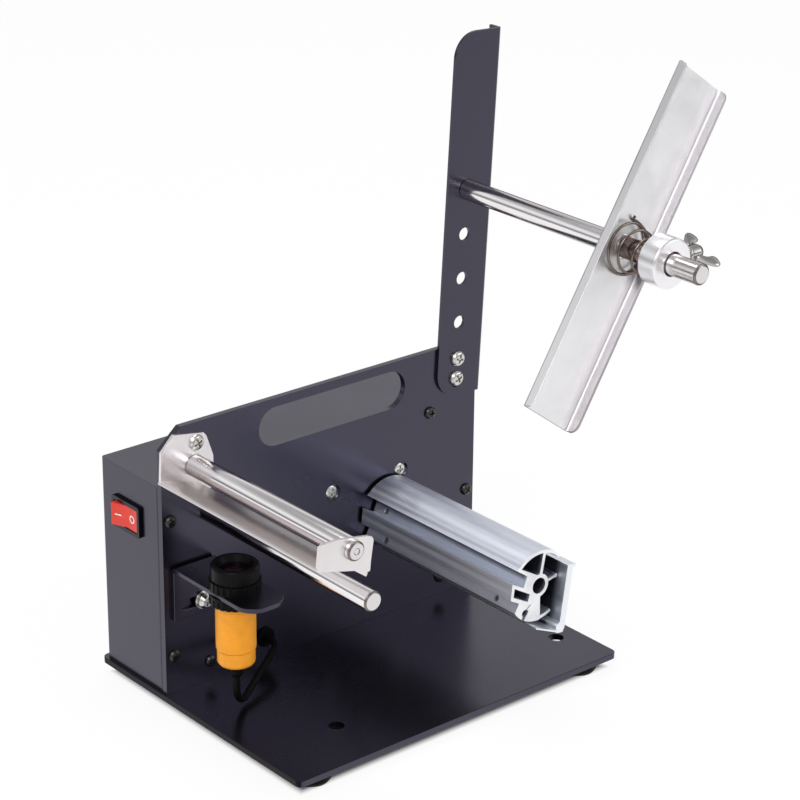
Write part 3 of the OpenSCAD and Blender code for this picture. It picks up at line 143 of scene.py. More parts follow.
class DispenserColours(bpy.types.PropertyGroup):
    coat: colour("Powder coat", "Body colour", (0.0019, 0.0018, 0.0019, 1))
    gloss: colour("Gloss of the coat", "Tint of the coat's gloss", (0.745, 0.69, 1.0, 1))
    coat_edge: colour("Coat on edges", "Coat on folded edges", (0.016, 0.015, 0.017, 1))
    rod: colour("Ground rods", "Shaft, roller and rod", (0.97, 0.94, 0.955, 1))
    stainless: colour("Peel plate", "Brushed sheet", (0.86, 0.83, 0.835, 1))
    bar: colour("Reel bar", "Satin sheet", (0.93, 0.92, 0.935, 1))
    collar: colour("Collar", "Turned ring", (0.97, 0.96, 0.985, 1))
    drum: colour("Drum", "Extruded section", (0.86, 0.90, 1.0, 1))
    clip: colour("Clamp bar", "Bright strip", (0.93, 0.96, 1.0, 1))
    spring: colour("Spring", "Dark wire", (0.24, 0.20, 0.18, 1))
    screw: colour("Bright screws", "Plated screws", (0.72, 0.70, 0.67, 1))
    zinc: colour("Zinc", "Plated sheet and nuts", (0.58, 0.59, 0.60, 1))
    cast: colour("Cast wings", "Cast screw head", (0.56, 0.55, 0.54, 1))
    black_screw: colour("Black screws", "Blackened screws", (0.006, 0.006, 0.0065, 1))
    orange: colour("Sensor", "Sensor barrel", (0.93, 0.365, 0.016, 1))
    lens: colour("Lens", "Dark window", (0.02, 0.006, 0.012, 1))
    black: colour("Black plastic", "Moulded pieces", (0.0030, 0.0027, 0.0034, 1))
    rubber: colour("Rubber", "Feet, grommet, cable", (0.0035, 0.0033, 0.0037, 1))
    red: colour("Rocker", "Switch rocker", (0.76, 0.036, 0.014, 1))
    mark: colour("Marks", "Print on the rocker", (0.86, 0.84, 0.80, 1))
    brass: colour("Brass", "Terminals and spacers", (0.70, 0.52, 0.24, 1))
    board: colour("Board", "Board lacquer", (0.012, 0.11, 0.045, 1))
    wire: colour("Wires", "Wire insulation", (0.45, 0.02, 0.015, 1))
    floor: colour("Floor", "Floor and backdrop", (0.86, 0.86, 0.865, 1))


class DispenserSizes(bpy.types.PropertyGroup):
    plate_edge: length("Plate edges", "Rounding of thick plate edges", 0.00055)
    cover_edge: length("Cover edges", "Rounding of the cover's edges", 0.0009)
    sheet_edge: length("Sheet edges", "Rounding of sheet edges", 0.00035)
    moulded_edge: length("Moulded edges", "Rounding of plastic edges", 0.0004)
    drum_edge: length("Drum edges", "Rounding of the extruded section", 0.00018)
    screw_edge: length("Screw edges", "Rounding of screw heads", 0.00016)
    block_edge: length("Casting edges", "Rounding of gearbox and motor", 0.0008)
    thread_pitch: length("Sensor thread", "Pitch of the barrel's thread", 0.001)
    thread_depth: length("Thread depth", "Depth of the barrel's thread", 0.00013)
    wire_sides: IntProperty(name="Wire sides", description="Facets round a wire",
                            default=16, min=6, max=48)


def colours():
    return bpy.context.scene.dispenser_colours


def sizes():
    return bpy.context.scene.dispenser_sizes


# ------------------------------------------------------------------ surfaces
def grid_faces(rows, cols, wrap_rows=False, wrap_cols=True):
    """Quads of a rows x cols grid of points: each point with its right and upper
    neighbours, the last row or column joined to the first where it wraps."""
    r = np.arange(rows if wrap_rows else rows - 1)
    c = np.arange(cols if wrap_cols else cols - 1)
    r, c = (a.ravel() for a in np.meshgrid(r, c, indexing="ij"))
    r1, c1 = (r + 1) % rows, (c + 1) % cols
    return np.stack([r * cols + c, r * cols + c1, r1 * cols + c1, r1 * cols + c], 1)


def make_mesh(name, points, faces, sharp):
    """A welded mesh with outward faces, smooth but for edges sharper than given."""
    mesh = bpy.data.meshes.new(name)
    mesh.from_pydata(np.asarray(points, float).tolist(), [], [list(f) for f in faces])
    clean = bmesh.new()
    clean.from_mesh(mesh)
    bmesh.ops.remove_doubles(clean, verts=clean.verts, dist=2e-7)
    bmesh.ops.dissolve_degenerate(clean, edges=clean.edges, dist=1e-7)
    bmesh.ops.recalc_face_normals(clean, faces=clean.faces)
    clean.to_mesh(mesh)
    clean.free()
    mesh.polygons.foreach_set("use_smooth", np.ones(len(mesh.polygons), bool))
    mesh.set_sharp_from_angle(angle=math.radians(sharp))
    return mesh


def new_piece(name, mesh, *materials):
    piece = bpy.data.objects.new(name, mesh)
    bpy.context.scene.collection.objects.link(piece)
    for material in materials:
        mesh.materials.append(look(material))
    return piece


def surface_piece(name, surface, material, sharp=38.0):
    """A piece from a surface, which is a pair of points and faces."""
    return new_piece(name, make_mesh(name, *surface, sharp), material)


def joined(parts):
    """One surface from several, each a closed shell."""
    points, faces, count = [], [], 0
    for p, f in parts:
        p = np.asarray(p, float).reshape(-1, 3)
        points.append(p)
        faces += [[int(i) + count for i in q] for q in f]
        count += len(p)
    return np.concatenate(points), faces


def shell(grid, wrap_rows=False, caps=True):
    """(points, faces) of a grid that closes round its columns; its first and last
    rows are closed by a fan round their middle unless the rows wrap too."""
    grid = np.asarray(grid, float)
    rows, cols = grid.shape[:2]
    points = grid.reshape(-1, 3)
    faces = grid_faces(rows, cols, wrap_rows).tolist()
    if caps and not wrap_rows:
        ring = np.arange(cols)
        for row, turn in ((0, 1), (rows - 1, -1)):
            centre = len(points)
            points = np.concatenate([points, grid[row].mean(0)[None]])
            first, second = row * cols + ring, row * cols + (ring + turn) % cols
            faces += np.stack([np.full(cols, centre), second, first], 1).tolist()
    return points, faces


def rounded_outline(corners, steps=4):
    """A line through corners (x, y, radius): each corner is replaced by an arc that
    touches both of its sides, the radius times the half angle's tangent away."""
    out = [np.array(corners[0][:2], float)]
    for before, here, after in zip(corners, corners[1:], corners[2:]):
        p = np.array(here[:2], float)
        a = np.array(before[:2], float) - p
        b = np.array(after[:2], float) - p
        la, lb = np.linalg.norm(a), np.linalg.norm(b)
        a, b = a / la, b / lb
        half = math.acos(np.clip(a @ b, -1, 1)) / 2
        if here[2] <= 0 or half > 1.55:
            out.append(p)
            continue
        reach = min(here[2] / math.tan(half), la * 0.48, lb * 0.48)
        radius = reach * math.tan(half)
        centre = p + (a + b) / np.linalg.norm(a + b) * radius / math.sin(half)
        start, end = p + a * reach - centre, p + b * reach - centre
        sweep = math.acos(np.clip(start @ end / radius**2, -1, 1))
        t = np.linspace(0, 1, steps + 1)[:, None]
        arc = (np.sin((1 - t) * sweep) * start + np.sin(t * sweep) * end) / math.sin(sweep)
        out.extend(centre + arc)
    out.append(np.array(corners[-1][:2], float))
    return np.array(out)


def circle(steps):
    return np.linspace(0, 2 * np.pi, steps, endpoint=False)


def circle_section(radius, sides):
    return radius * np.stack([np.cos(circle(sides)), np.sin(circle(sides))], 1)


def ring_points(radius, turn, height):
    """Points round the z axis, at the radius and height given."""
    radius, turn, height = np.broadcast_arrays(radius, turn, height)
    return np.stack([radius * np.cos(turn), radius * np.sin(turn), height], -1)


def beside(direction):
    """A unit vector square to the direction."""
    side = np.cross(direction, (0.0, 0.0, 1.0) if abs(direction[2]) < 0.9 else (1.0, 0.0, 0.0))
    return side / np.linalg.norm(side)


def turned(profile, centre, along=(0, 1, 0), steps=96, closed=False):
    """(points, faces) of a turned shape: the profile's radius and place along the
    axis, carried round the axis through centre. A closed profile makes a ring."""
    along = np.array(along, float) / np.linalg.norm(along)
    side = beside(along)
    profile = np.asarray(profile, float)
    spokes = circle_section(1, steps) @ np.stack([side, np.cross(along, side)])
    grid = (np.asarray(centre, float) + profile[:, 1, None, None] * along
            + profile[:, 0, None, None] * spokes[None])
    return shell(grid, wrap_rows=closed, caps=False)


def swept(path, section):
    """Grid of a section carried along a path: the section's two axes are turned from
    point to point by the least turn that keeps them square to the path."""
    path = np.asarray(path, float)
    tangent = np.gradient(path, axis=0)
    tangent /= np.linalg.norm(tangent, axis=1)[:, None]
    side, sides = beside(tangent[0]), []
    for t in tangent:
        side = side - (side @ t) * t
        side /= np.linalg.norm(side)
        sides.append(side)
    sides = np.array(sides)
    third = np.cross(tangent, sides)
    section = np.broadcast_to(section, (len(path),) + np.shape(section)[-2:])
    return (path[:, None] + section[..., 0, None] * sides[:, None]
            + section[..., 1, None] * third[:, None])


def stands_for(piece, *nodes, body=None):
    """The piece rides on its nodes' body and hides them."""
    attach(piece, body or BODY_OF[nodes[0]])
    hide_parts(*nodes)
    return piece


def rounded_copy(node, width, material, edge=None, segments=2, limit=32.0):
    """A copy of a solid with its edges rounded: coplanar triangles are merged, edges
    sharper than the limit are bevelled, and the bevel takes the edge's finish. The
    width is a setting's name or a length."""
    mesh = frame["nodes"][node].data.copy()
    mesh.materials.clear()
    clean = bmesh.new()
    clean.from_mesh(mesh)
    bmesh.ops.remove_doubles(clean, verts=clean.verts, dist=1e-6)
    bmesh.ops.dissolve_limit(clean, angle_limit=math.radians(0.8),
                             verts=clean.verts, edges=clean.edges)
    for layer in list(clean.loops.layers.uv.values()):
        clean.loops.layers.uv.remove(layer)
    clean.to_mesh(mesh)
    clean.free()
    mesh.polygons.foreach_set("use_smooth", np.ones(len(mesh.polygons), bool))
    mesh.polygons.foreach_set("material_index", np.zeros(len(mesh.polygons), np.int32))
    piece = new_piece(node + "_finished", mesh, material, edge or material)
    bevel = piece.modifiers.new("edges", "BEVEL")
    bevel.width = getattr(sizes(), width) if isinstance(width, str) else width
    bevel.segments = segments
    bevel.limit_method, bevel.angle_limit = "ANGLE", math.radians(limit)
    bevel.material = 1
    bevel.use_clamp_overlap = True
    bevel.harden_normals = False
    even = piece.modifiers.new("even", "WEIGHTED_NORMAL")
    even.mode, even.weight = "FACE_AREA", 60
    return stands_for(piece, node)


# ------------------------------------------------------------------ finishes
def feed(node, inputs):
    """Sockets among the inputs are linked to the node, values are written to it."""
    for key, value in inputs.items():
        if isinstance(value, bpy.types.NodeSocket):
            node.id_data.links.new(value, node.inputs[key])
        else:
            node.inputs[key].default_value = value
    return node.outputs


def add_node(kind, inputs=None, tree=None, **settings):
    """Outputs of a new shader node, in the tree of the sockets that it is fed with."""
    inputs = inputs or {}
    if tree is None:
        tree = next(v for v in inputs.values() if isinstance(v, bpy.types.NodeSocket)).id_data
    node = tree.nodes.new("ShaderNode" + kind)
    for key, value in settings.items():
        setattr(node, key, value)
    return feed(node, inputs)


def number(operation, a, b=0.0):
    return add_node("Math", {0: a, 1: b}, operation=operation)[0]


def times(*values):
    return functools.reduce(lambda a, b: number("MULTIPLY", a, b), values)


def plus(*values):
    return functools.reduce(lambda a, b: number("ADD", a, b), values)


def vector(operation, a, b=(0.0, 0.0, 0.0)):
    return add_node("VectorMath", {0: a, 1: b}, operation=operation)


def between(value, low, high, low_to=0.0, high_to=1.0):
    """The value's way from low to high, carried over to low_to and high_to."""
    return add_node("MapRange", {0: value, 1: low, 2: high, 3: low_to, 4: high_to})[0]


def blended(factor, a, b):
    """Colour a where the factor is 0, colour b where it is 1."""
    return add_node("Mix", {0: factor, 6: a, 7: b}, data_type="RGBA")[2]


def noise(where, scale, detail, rough, **more):
    return add_node("TexNoise", {"Vector": where, "Scale": scale, "Detail": detail,
                                 "Roughness": rough, **more})[0]


def centred(where, middle, turn):
    """Coordinates with their origin in the middle, turned about it."""
    moved = vector("SUBTRACT", where, tuple(middle))[0]
    return add_node("Mapping", {"Vector": moved, "Rotation": turn})[0]


def shared(name, key, where, value, build):
    """Outputs of a shared effect: a node group, built on its first use, that takes
    coordinates and one more value. Its outputs are what build returns."""
    group = bpy.data.node_groups.get(name)
    if group is None:
        group = bpy.data.node_groups.new(name, "ShaderNodeTree")
        kind = VECTOR if isinstance(value, tuple) else FLOAT
        for label, socket in (("Vector", VECTOR), (key, kind)):
            group.interface.new_socket(name=label, in_out="INPUT", socket_type=socket)
        found = build(*group.nodes.new("NodeGroupInput").outputs[:2])
        for label in found:
            group.interface.new_socket(name=label, in_out="OUTPUT", socket_type=FLOAT)
        feed(group.nodes.new("NodeGroupOutput"), found)
    node = where.id_data.nodes.new("ShaderNodeGroup")
    node.node_tree = group
    return feed(node, {"Vector": where, key: value})


def fine_grain(where, size):
    """Even small bumps: a noise whose grains have the given size."""
    def build(where, size):
        return {"Height": noise(where, number("DIVIDE", 1.0, size), 2.0, 0.45)}
    return shared("fine_grain", "Size", where, size, build)


def drawn_lines(where, stretch):
    """Drawn or ground lines: the coordinates are multiplied by Stretch, which is
    small along the lines, and a fine and a broad noise are added."""
    def build(where, stretch):
        where = vector("MULTIPLY", where, stretch)[0]
        fine, broad = noise(where, 1.0, 3.0, 0.6), noise(where, 0.17, 2.0, 0.5)
        total = plus(times(fine, 0.55), times(broad, 0.45))
        return {"Lines": between(total, 0.30, 0.70), "Broad": between(broad, 0.34, 0.66)}
    return shared("drawn_lines", "Stretch", where, stretch, build)


def turning_marks(where, given):
    """Marks round an axis along y through a middle: a noise of one number, the
    distance from the axis plus the way along it, so that faces get rings and barrels
    get lines round them."""
    middle, pitch = given

    def build(where, pitch):
        x, y, z = add_node("SeparateXYZ", {0: where})
        away = vector("LENGTH", add_node("CombineXYZ", {0: x, 1: y, 2: 0.0})[0])
        both = plus(away["Value"], z)
        rings = add_node("TexNoise", {
            "W": number("DIVIDE", both, pitch), "Scale": 1.0, "Detail": 2.0,
            "Roughness": 0.6}, noise_dimensions="1D")[0]
        return {"Rings": between(rings, 0.28, 0.72)}
    where = centred(where, middle, (math.pi / 2, 0, 0))
    return shared("turning_marks", "Pitch", where, pitch, build)


def handling(where, size):
    """Traces of handling: soft clouds of the given size, and sparse small specks."""
    def build(where, size):
        scale = number("DIVIDE", 1.0, size)
        cloud = noise(where, scale, 4.0, 0.55, Distortion=0.6)
        fleck = noise(where, times(scale, 14.0), 3.0, 0.7)
        return {"Cloud": between(cloud, 0.32, 0.68), "Specks": between(fleck, 0.66, 0.74)}
    return shared("handling_marks", "Size", where, size, build)


def shader_of(material):
    return next(n for n in material.node_tree.nodes if n.type == "BSDF_PRINCIPLED")


def start_material(name):
    """An empty material, its shader and the object's coordinates. Its name is kept
    apart from the names of the solids' own materials."""
    material = bpy.data.materials.new("finish_" + name)
    material.use_nodes = True
    where = add_node("TexCoord", tree=material.node_tree)["Object"]
    return material, shader_of(material), where


def darker(value, share):
    return tuple(c * share for c in value[:3]) + (1.0,)


def bumps(height, depth):
    """A bumped normal; the depth is in micrometres."""
    return add_node("Bump", {"Height": height, "Distance": depth * MICRON, "Strength": 1.0})[0]


def finish(name, base, effects, tones, glosses, rough, height, depth, values):
    """The material of this name, built on its first use. Its effects give masks. The
    first tone lies between two shares of the base colour; each later one mixes in a
    share of it by a mask times a weight. Roughness is rough plus weighted masks, and
    one mask is the height of the bumps."""
    if "finish_" + name in bpy.data.materials:
        return bpy.data.materials["finish_" + name]
    material, shader, where = start_material(name)
    masks = {}
    for effect, size in effects:
        masks.update(effect(where, size).items())
    mask, low, high = tones[0]
    tone = blended(masks[mask], darker(base, low), darker(base, high))
    for mask, weight, share in tones[1:]:
        tone = blended(times(masks[mask], weight), tone, darker(base, share))
    for mask, weight in glosses:
        rough = plus(times(masks[mask], weight), rough)
    feed(shader, {"Base Color": tone, "Roughness": rough,
                  "Normal": bumps(masks[height], depth), **values})
    return material


def powder_coat(name, base, rough, gloss):
    """Satin coat: even small bumps, soft clouds in gloss, a few pale specks. Nearly
    all of its light is gloss, which leans to violet."""
    return finish(name, base, ((handling, 0.045), (fine_grain, 0.00042)),
                  (("Cloud", 0.90, 1.12), ("Specks", 0.05, 3.0)), (("Cloud", 0.06),),
                  rough - 0.03, "Height", 12,
                  {"Specular IOR Level": gloss, "Specular Tint": colours().gloss})


def lined_metal(name, base, rough, stretch, depth, cloud, stain, spread, contrast,
                tint=WHITE):
    """Drawn or ground metal: lines along the piece in tone, gloss and height, and
    clouds of a slightly darker tone."""
    return finish(name, base, ((drawn_lines, stretch), (handling, cloud)),
                  (("Lines", 1 - contrast, 1.0), ("Cloud", 0.7, stain), ("Specks", 0.35, 0.6)),
                  (("Broad", spread), ("Cloud", 0.05)), rough - spread / 2, "Lines", depth,
                  {"Metallic": 1.0, "Specular Tint": tint})


def turned_metal(name, base, rough, middle, pitch, depth, contrast):
    """Turned metal: fine rings round an axis along y, and soft clouds."""
    return finish(name, base, ((turning_marks, (middle, pitch)), (handling, 0.008)),
                  (("Rings", 1 - contrast, 1.0), ("Cloud", 0.5, 0.92)),
                  (("Rings", 0.07), ("Cloud", 0.06)), rough - 0.05, "Rings", depth,
                  {"Metallic": 1.0})


def plain_metal(name, base, rough, cloud, grain, depth, tint=WHITE):
    """Plated or cast metal: a fine grain and soft clouds of dullness."""
    return finish(name, base, ((handling, cloud), (fine_grain, grain)),
                  (("Cloud", 1.0, 0.82), ("Specks", 0.4, 0.55)), (("Cloud", 0.12),),
                  rough - 0.04, "Height", depth, {"Metallic": 1.0, "Specular Tint": tint})


def plastic(name, base, rough, grain, depth, coat, cloud, gloss):
    """Moulded plastic or rubber: a fine grain and soft clouds."""
    return finish(name, base, ((handling, cloud), (fine_grain, grain)),
                  (("Cloud", 0.92, 1.06),), (("Cloud", 0.08),), rough - 0.04, "Height", depth,
                  {"Coat Weight": coat, "Coat Roughness": 0.12, "Specular IOR Level": gloss})


def toned(material, mask, value):
    """The base colour gives way to another one where mask(coordinates) is 1."""
    base = shader_of(material).inputs["Base Color"]
    where = next(n for n in material.node_tree.nodes if n.type == "TEX_COORD")
    tone = blended(mask(where.outputs["Object"]), base.links[0].from_socket, value)
    material.node_tree.links.new(tone, base)


# each finish: its kind, its colour (a setting or a fixed value) and its numbers, with
# sizes in metres and depths in micrometres
LOOKS = {
    # roughness, gloss
    "powder_coat": (powder_coat, "coat", 0.26, 0.98),
    "powder_coat_edge": (powder_coat, "coat_edge", 0.30, 0.98),
    # a dull copy of the coat for bevels and the base plate's left side: painted shade along edges
    "powder_coat_turned_edge": (powder_coat, "coat", 0.40, 0.18),
    # a glossier copy of the coat for the switch frame's front faces: painted light; its other
    # faces take black plastic, painted shade
    "switch_rim": (powder_coat, "coat", 0.34, 0.5),
    # roughness; stretch and depth of the lines; size and tone of the clouds; spread of
    # the roughness; contrast of the lines; tint at grazing angles
    "ground_shaft": (lined_metal, "rod", 0.13, GROUND, 0.8, 0.014, 0.90, 0.08, 0.14,
                     (0.40, 0.36, 0.35, 1)),
    "ground_rod": (lined_metal, "rod", 0.12, GROUND, 0.8, 0.014, 0.93, 0.08, 0.12,
                   (0.55, 0.50, 0.49, 1)),
    "brushed_sheet": (lined_metal, "stainless", 0.30, BRUSHED, 0.4, 0.02, 0.84, 0.06, 0.07),
    # a darker, warmer copy of the sheet for its upward faces
    "worn_sheet": (lined_metal, (0.74, 0.68, 0.67), 0.30, BRUSHED, 0.4, 0.012, 0.80,
                   0.08, 0.16),
    "extruded_section": (lined_metal, "drum", 0.42, EXTRUDED, 1.8, 0.022, 0.86, 0.12, 0.14),
    "bright_strip": (lined_metal, "clip", 0.46, DRAWN, 1.5, 0.015, 0.92, 0.10, 0.10),
    # a darker copy of the strip for its inner faces: painted shade
    "strip_inside": (lined_metal, (0.66, 0.70, 0.78), 0.46, DRAWN, 1.5, 0.015, 0.92,
                     0.10, 0.10),
    # roughness; size of the clouds; size and depth of the grain; tint at grazing angles
    "plated_screw": (plain_metal, "screw", 0.24, 0.003, 0.0003, 2),
    "zinc_plate": (plain_metal, "zinc", 0.34, 0.006, 0.0004, 3),
    "brass": (plain_metal, "brass", 0.3, 0.004, 0.00025, 3),
    "cast_housing": (plain_metal, (0.50, 0.50, 0.51), 0.45, 0.01, 0.0006, 20),
    "sawn_face": (plain_metal, (0.97, 0.97, 0.985), 0.40, 0.012, 0.0004, 2),
    "set_screw": (plain_metal, (0.34, 0.34, 0.35), 0.34, 0.002, 0.0002, 2),
    "cast_wings": (plain_metal, "cast", 0.15, 0.004, 0.0006, 16, (0.16, 0.15, 0.14, 1)),
    "spring_wire": (plain_metal, "spring", 0.16, 0.005, 0.0003, 2, (0.08, 0.07, 0.06, 1)),
    # painted shade: narrow turned chamfers, and the faces round the collar's bore, take a dark
    # metal beside the ground metal
    "turned_chamfer": (plain_metal, (0.25, 0.225, 0.21), 0.30, 0.003, 0.0002, 1,
                       (0.2, 0.19, 0.18, 1)),
    # roughness; size and depth of the grain; clear coat; size of the clouds; gloss
    "blackened_screw": (plastic, "black_screw", 0.32, 0.0002, 3, 0.3, 0.01, 0.5),
    "black_plastic": (plastic, "black", 0.34, 0.00035, 6, 0.0, 0.006, 0.10),
    "rubber": (plastic, "rubber", 0.50, 0.0004, 10, 0.0, 0.008, 0.08),
    "orange_barrel": (plastic, "orange", 0.38, 0.0003, 2, 0.0, 0.01, 0.4),
    "dark_lens": (plastic, "lens", 0.08, 0.0005, 0.0, 0.8, 0.01, 0.5),
    "red_rocker": (plastic, "red", 0.34, 0.0005, 2, 0.1, 0.006, 0.5),
    "white_print": (plastic, "mark", 0.45, 0.0003, 1, 0.0, 0.01, 0.5),
    "board_lacquer": (plastic, "board", 0.3, 0.0008, 4, 0.3, 0.012, 0.5),
    "wire_insulation": (plastic, "wire", 0.35, 0.0003, 2, 0.2, 0.01, 0.5),
}


def look(name):
    """The finish of this name; a material is handed through."""
    if name not in LOOKS:
        return name
    kind, base, *numbers = LOOKS[name]
    return kind(name, getattr(colours(), base) if isinstance(base, str) else base, *numbers)


def shaft_finish():
    """Ground bar with a painted dark warm reflection and shade inside the spring, between
    the reel bar and the collar, and a painted darker reflection, mottled in patches, on the free
    end."""
    def painted_reflection_in_spring(where):
        y = add_node("SeparateXYZ", {0: where})[1]
        start, end = place_y(BAR_FRONT), place_y(COLLAR_MIDDLE + 4)
        return times(between(y, start + 0.001, start - 0.001),
                     between(y, end - 0.002, end + 0.005))

    def painted_dark_free_end(where):
        y = add_node("SeparateXYZ", {0: where})[1]
        # clouds that mottle the painted darkening of the free end
        rub = handling(where, 0.0022)["Cloud"]
        return times(between(y, place_y(COLLAR_MIDDLE - 6), place_y(COLLAR_MIDDLE - 8)),
                     plus(0.45, times(rub, 0.5)))

    material = look("ground_shaft")
    # painted reflection and shade inside the spring, between the reel bar and the collar
    toned(material, painted_reflection_in_spring, (0.25, 0.19, 0.17, 1))
    # painted darker reflection on the free end, mottled by clouds
    toned(material, painted_dark_free_end, (0.62, 0.60, 0.57, 1))
    return material


def face_values(piece, what):
    """Middles or normals of all faces of a piece."""
    values = np.empty(len(piece.data.polygons) * 3)
    piece.data.polygons.foreach_get(what, values)
    return values.reshape(-1, 3)


def faces_take(piece, chosen, material):
    """The chosen faces take a further material."""
    mesh = piece.data
    mesh.materials.append(look(material))
    index = np.empty(len(mesh.polygons), np.int32)
    mesh.polygons.foreach_get("material_index", index)
    mesh.polygons.foreach_set("material_index", np.where(
        chosen, len(mesh.materials) - 1, index).astype(np.int32))


def rod_ends(piece, front, centre, chamfer):
    """The front face of a turned piece gets rings, and the chamfer round it takes a dark metal:
    painted shade.
    """
    near = face_values(piece, "center")[:, 1] < place_y(front) + chamfer
    faces_take(piece, near, "turned_chamfer")
    rings = turned_metal(piece.name + "_end", darker(colours().rod, 0.82), 0.26, centre,
                         0.00025, 2, 0.16)
    faces_take(piece, near & (face_values(piece, "normal")[:, 1] < -0.9), rings)


def turned_piece(name, outline, centre, material, sharp=38.0, **more):
    """A piece turned from an outline of corners with rounded edges."""
    outline = rounded_outline(outline)[:-1 if more.get("closed") else None]
    return surface_piece(name, turned(outline * MM, centre, **more), material, sharp)


def screw_places(node, reach):
    """Lowest and highest corner of each screw in a node, in turn: the points within
    reach of the first one left, measured across the screws' axis."""
    mesh = frame["nodes"][node].data
    points = np.empty(len(mesh.vertices) * 3)
    mesh.vertices.foreach_get("co", points)
    points = points.reshape(-1, 3)
    while len(points):
        near = np.linalg.norm((points - points[0])[:, [0, 2]], axis=1) < reach
        yield points[near].min(0), points[near].max(0)
        points = points[~near]


def screw_part(low, high, head, shank, turn):
    """A screw with a low dome and a cross recess. The dome falls as the square of the
    radius and rounds over at its rim; the recess is a cross of two bars whose walls
    slope in over a tenth of the bar's width, deepest in the middle."""
    radius = (high[0] - low[0]) / 2
    middle = np.array([(low[0] + high[0]) / 2, low[1], (low[2] + high[2]) / 2])
    u = np.concatenate([np.linspace(0.0, 0.9, 34), np.linspace(0.92, 1.0, 9), [1.0, 0.97]])
    lift = head * (1 - 0.34 * np.clip(u, 0, 0.9) ** 2)
    lift *= np.sqrt(np.clip(1 - np.clip((u - 0.72) / 0.30, 0, 1) ** 2, 0, 1))
    lift[-3:] = (head * 0.2, head * 0.08, 0)
    angle = circle(96)
    x, z = u[:, None] * np.cos(angle), u[:, None] * np.sin(angle)
    c, s = math.cos(turn), math.sin(turn)
    a, b = np.abs(x * c + z * s), np.abs(z * c - x * s)

    def bar(p, q):
        return np.clip((0.125 - p) / 0.03, 0, 1) * np.clip((0.56 - q) / 0.06, 0, 1)

    cut = np.maximum(bar(a, b), bar(b, a)) * (0.75 - 0.55 * np.clip(np.hypot(a, b), 0, 1))
    y = head - lift[:, None] + cut * head
    grid = np.stack([x * radius, y, z * radius], -1)
    stem = np.array([(shank / radius, head), (shank / radius, high[1] - low[1])])
    ring = np.stack([stem[:, :1] * radius * np.cos(angle), stem[:, 1:] + 0 * angle,
                     stem[:, :1] * radius * np.sin(angle)], -1)
    return shell(middle + np.concatenate([grid, ring]))


def domed_screws(node, head, shank, material, reach=0.0085):
    parts = [screw_part(low, high, head * MM, shank * MM / 2, 0.4 + 0.9 * i)
             for i, (low, high) in enumerate(screw_places(node, reach))]
    return stands_for(surface_piece(node + "_domed", joined(parts), material, 40), node)


# ------------------------------------------------------------------ pieces
class DISPENSER_OT_base(bpy.types.Operator):
    """Base plate, rubber feet and the screws from below"""
    bl_idname = "dispenser.base"
    bl_label = "Base"

    def execute(self, context):
        # its bevels and its left side take the dull copy of the coat: painted shade
        plate = rounded_copy("base_plate", "plate_edge", "powder_coat",
                             "powder_coat_turned_edge", 3)
        faces_take(plate, face_values(plate, "normal")[:, 0] < -0.5, "powder_coat_turned_edge")
        rounded_copy("rubber_feet", "moulded_edge", "rubber", segments=3)
        rounded_copy("base_screws", "screw_edge", "blackened_screw")
        return {"FINISHED"}


class DISPENSER_OT_body(bpy.types.Operator):
    """Front panel, rear cover, their brackets, feet and screws"""
    bl_idname = "dispenser.body"
    bl_label = "Panel and cover"

    def execute(self, context):
        # the bevels of panel and cover take the dull copy of the coat: painted shade along edges
        rounded_copy("front_panel", "plate_edge", "powder_coat", "powder_coat_turned_edge", 3)
        rounded_copy("rear_cover", "cover_edge", "powder_coat", "powder_coat_turned_edge", 3)
        domed_screws("panel_screws", 2.0, 3.0, "blackened_screw")
        for node in ("panel_brackets", "cover_feet"):
            rounded_copy(node, "sheet_edge", "zinc_plate")
        return {"FINISHED"}


class DISPENSER_OT_post(bpy.types.Operator):
    """Folded post with its screws and nuts"""
    bl_idname = "dispenser.post"
    bl_label = "Reel post"

    def execute(self, context):
        rounded_copy("reel_post", "sheet_edge", "powder_coat", "powder_coat_edge")
        domed_screws("post_screws", 2.5, 4.0, "plated_screw")
        rounded_copy("post_nuts", "screw_edge", "zinc_plate")
        return {"FINISHED"}


class DISPENSER_OT_shaft(bpy.types.Operator):
    """Reel shaft turned from bar, with its washer and nut"""
    bl_idname = "dispenser.shaft"
    bl_label = "Reel shaft"

    def execute(self, context):
        centre = place((REEL_X, 0, REEL_Z))
        piece = turned_piece("shaft_bar", [
            (0, STUD_END, 0), (STUD_R - 0.5, STUD_END, 0.2), (STUD_R, STUD_END - 0.6, 0.2),
            (STUD_R, POST_FACE, 0), (SHAFT_R - 0.3, POST_FACE, 0),
            (SHAFT_R, POST_FACE - 0.3, 0.1), (SHAFT_R, SHAFT_END + 0.9, 0.3),
            (SHAFT_R - 1.1, SHAFT_END + 0.1, 0.6), (0, SHAFT_END - 0.15, 0)],
            centre, shaft_finish(), 50)
        rod_ends(piece, SHAFT_END, centre, chamfer=0.0012)
        stands_for(piece, "reel_shaft")
        rounded_copy("shaft_washer", "screw_edge", "zinc_plate")
        rounded_copy("shaft_nut", "screw_edge", "zinc_plate")
        return {"FINISHED"}


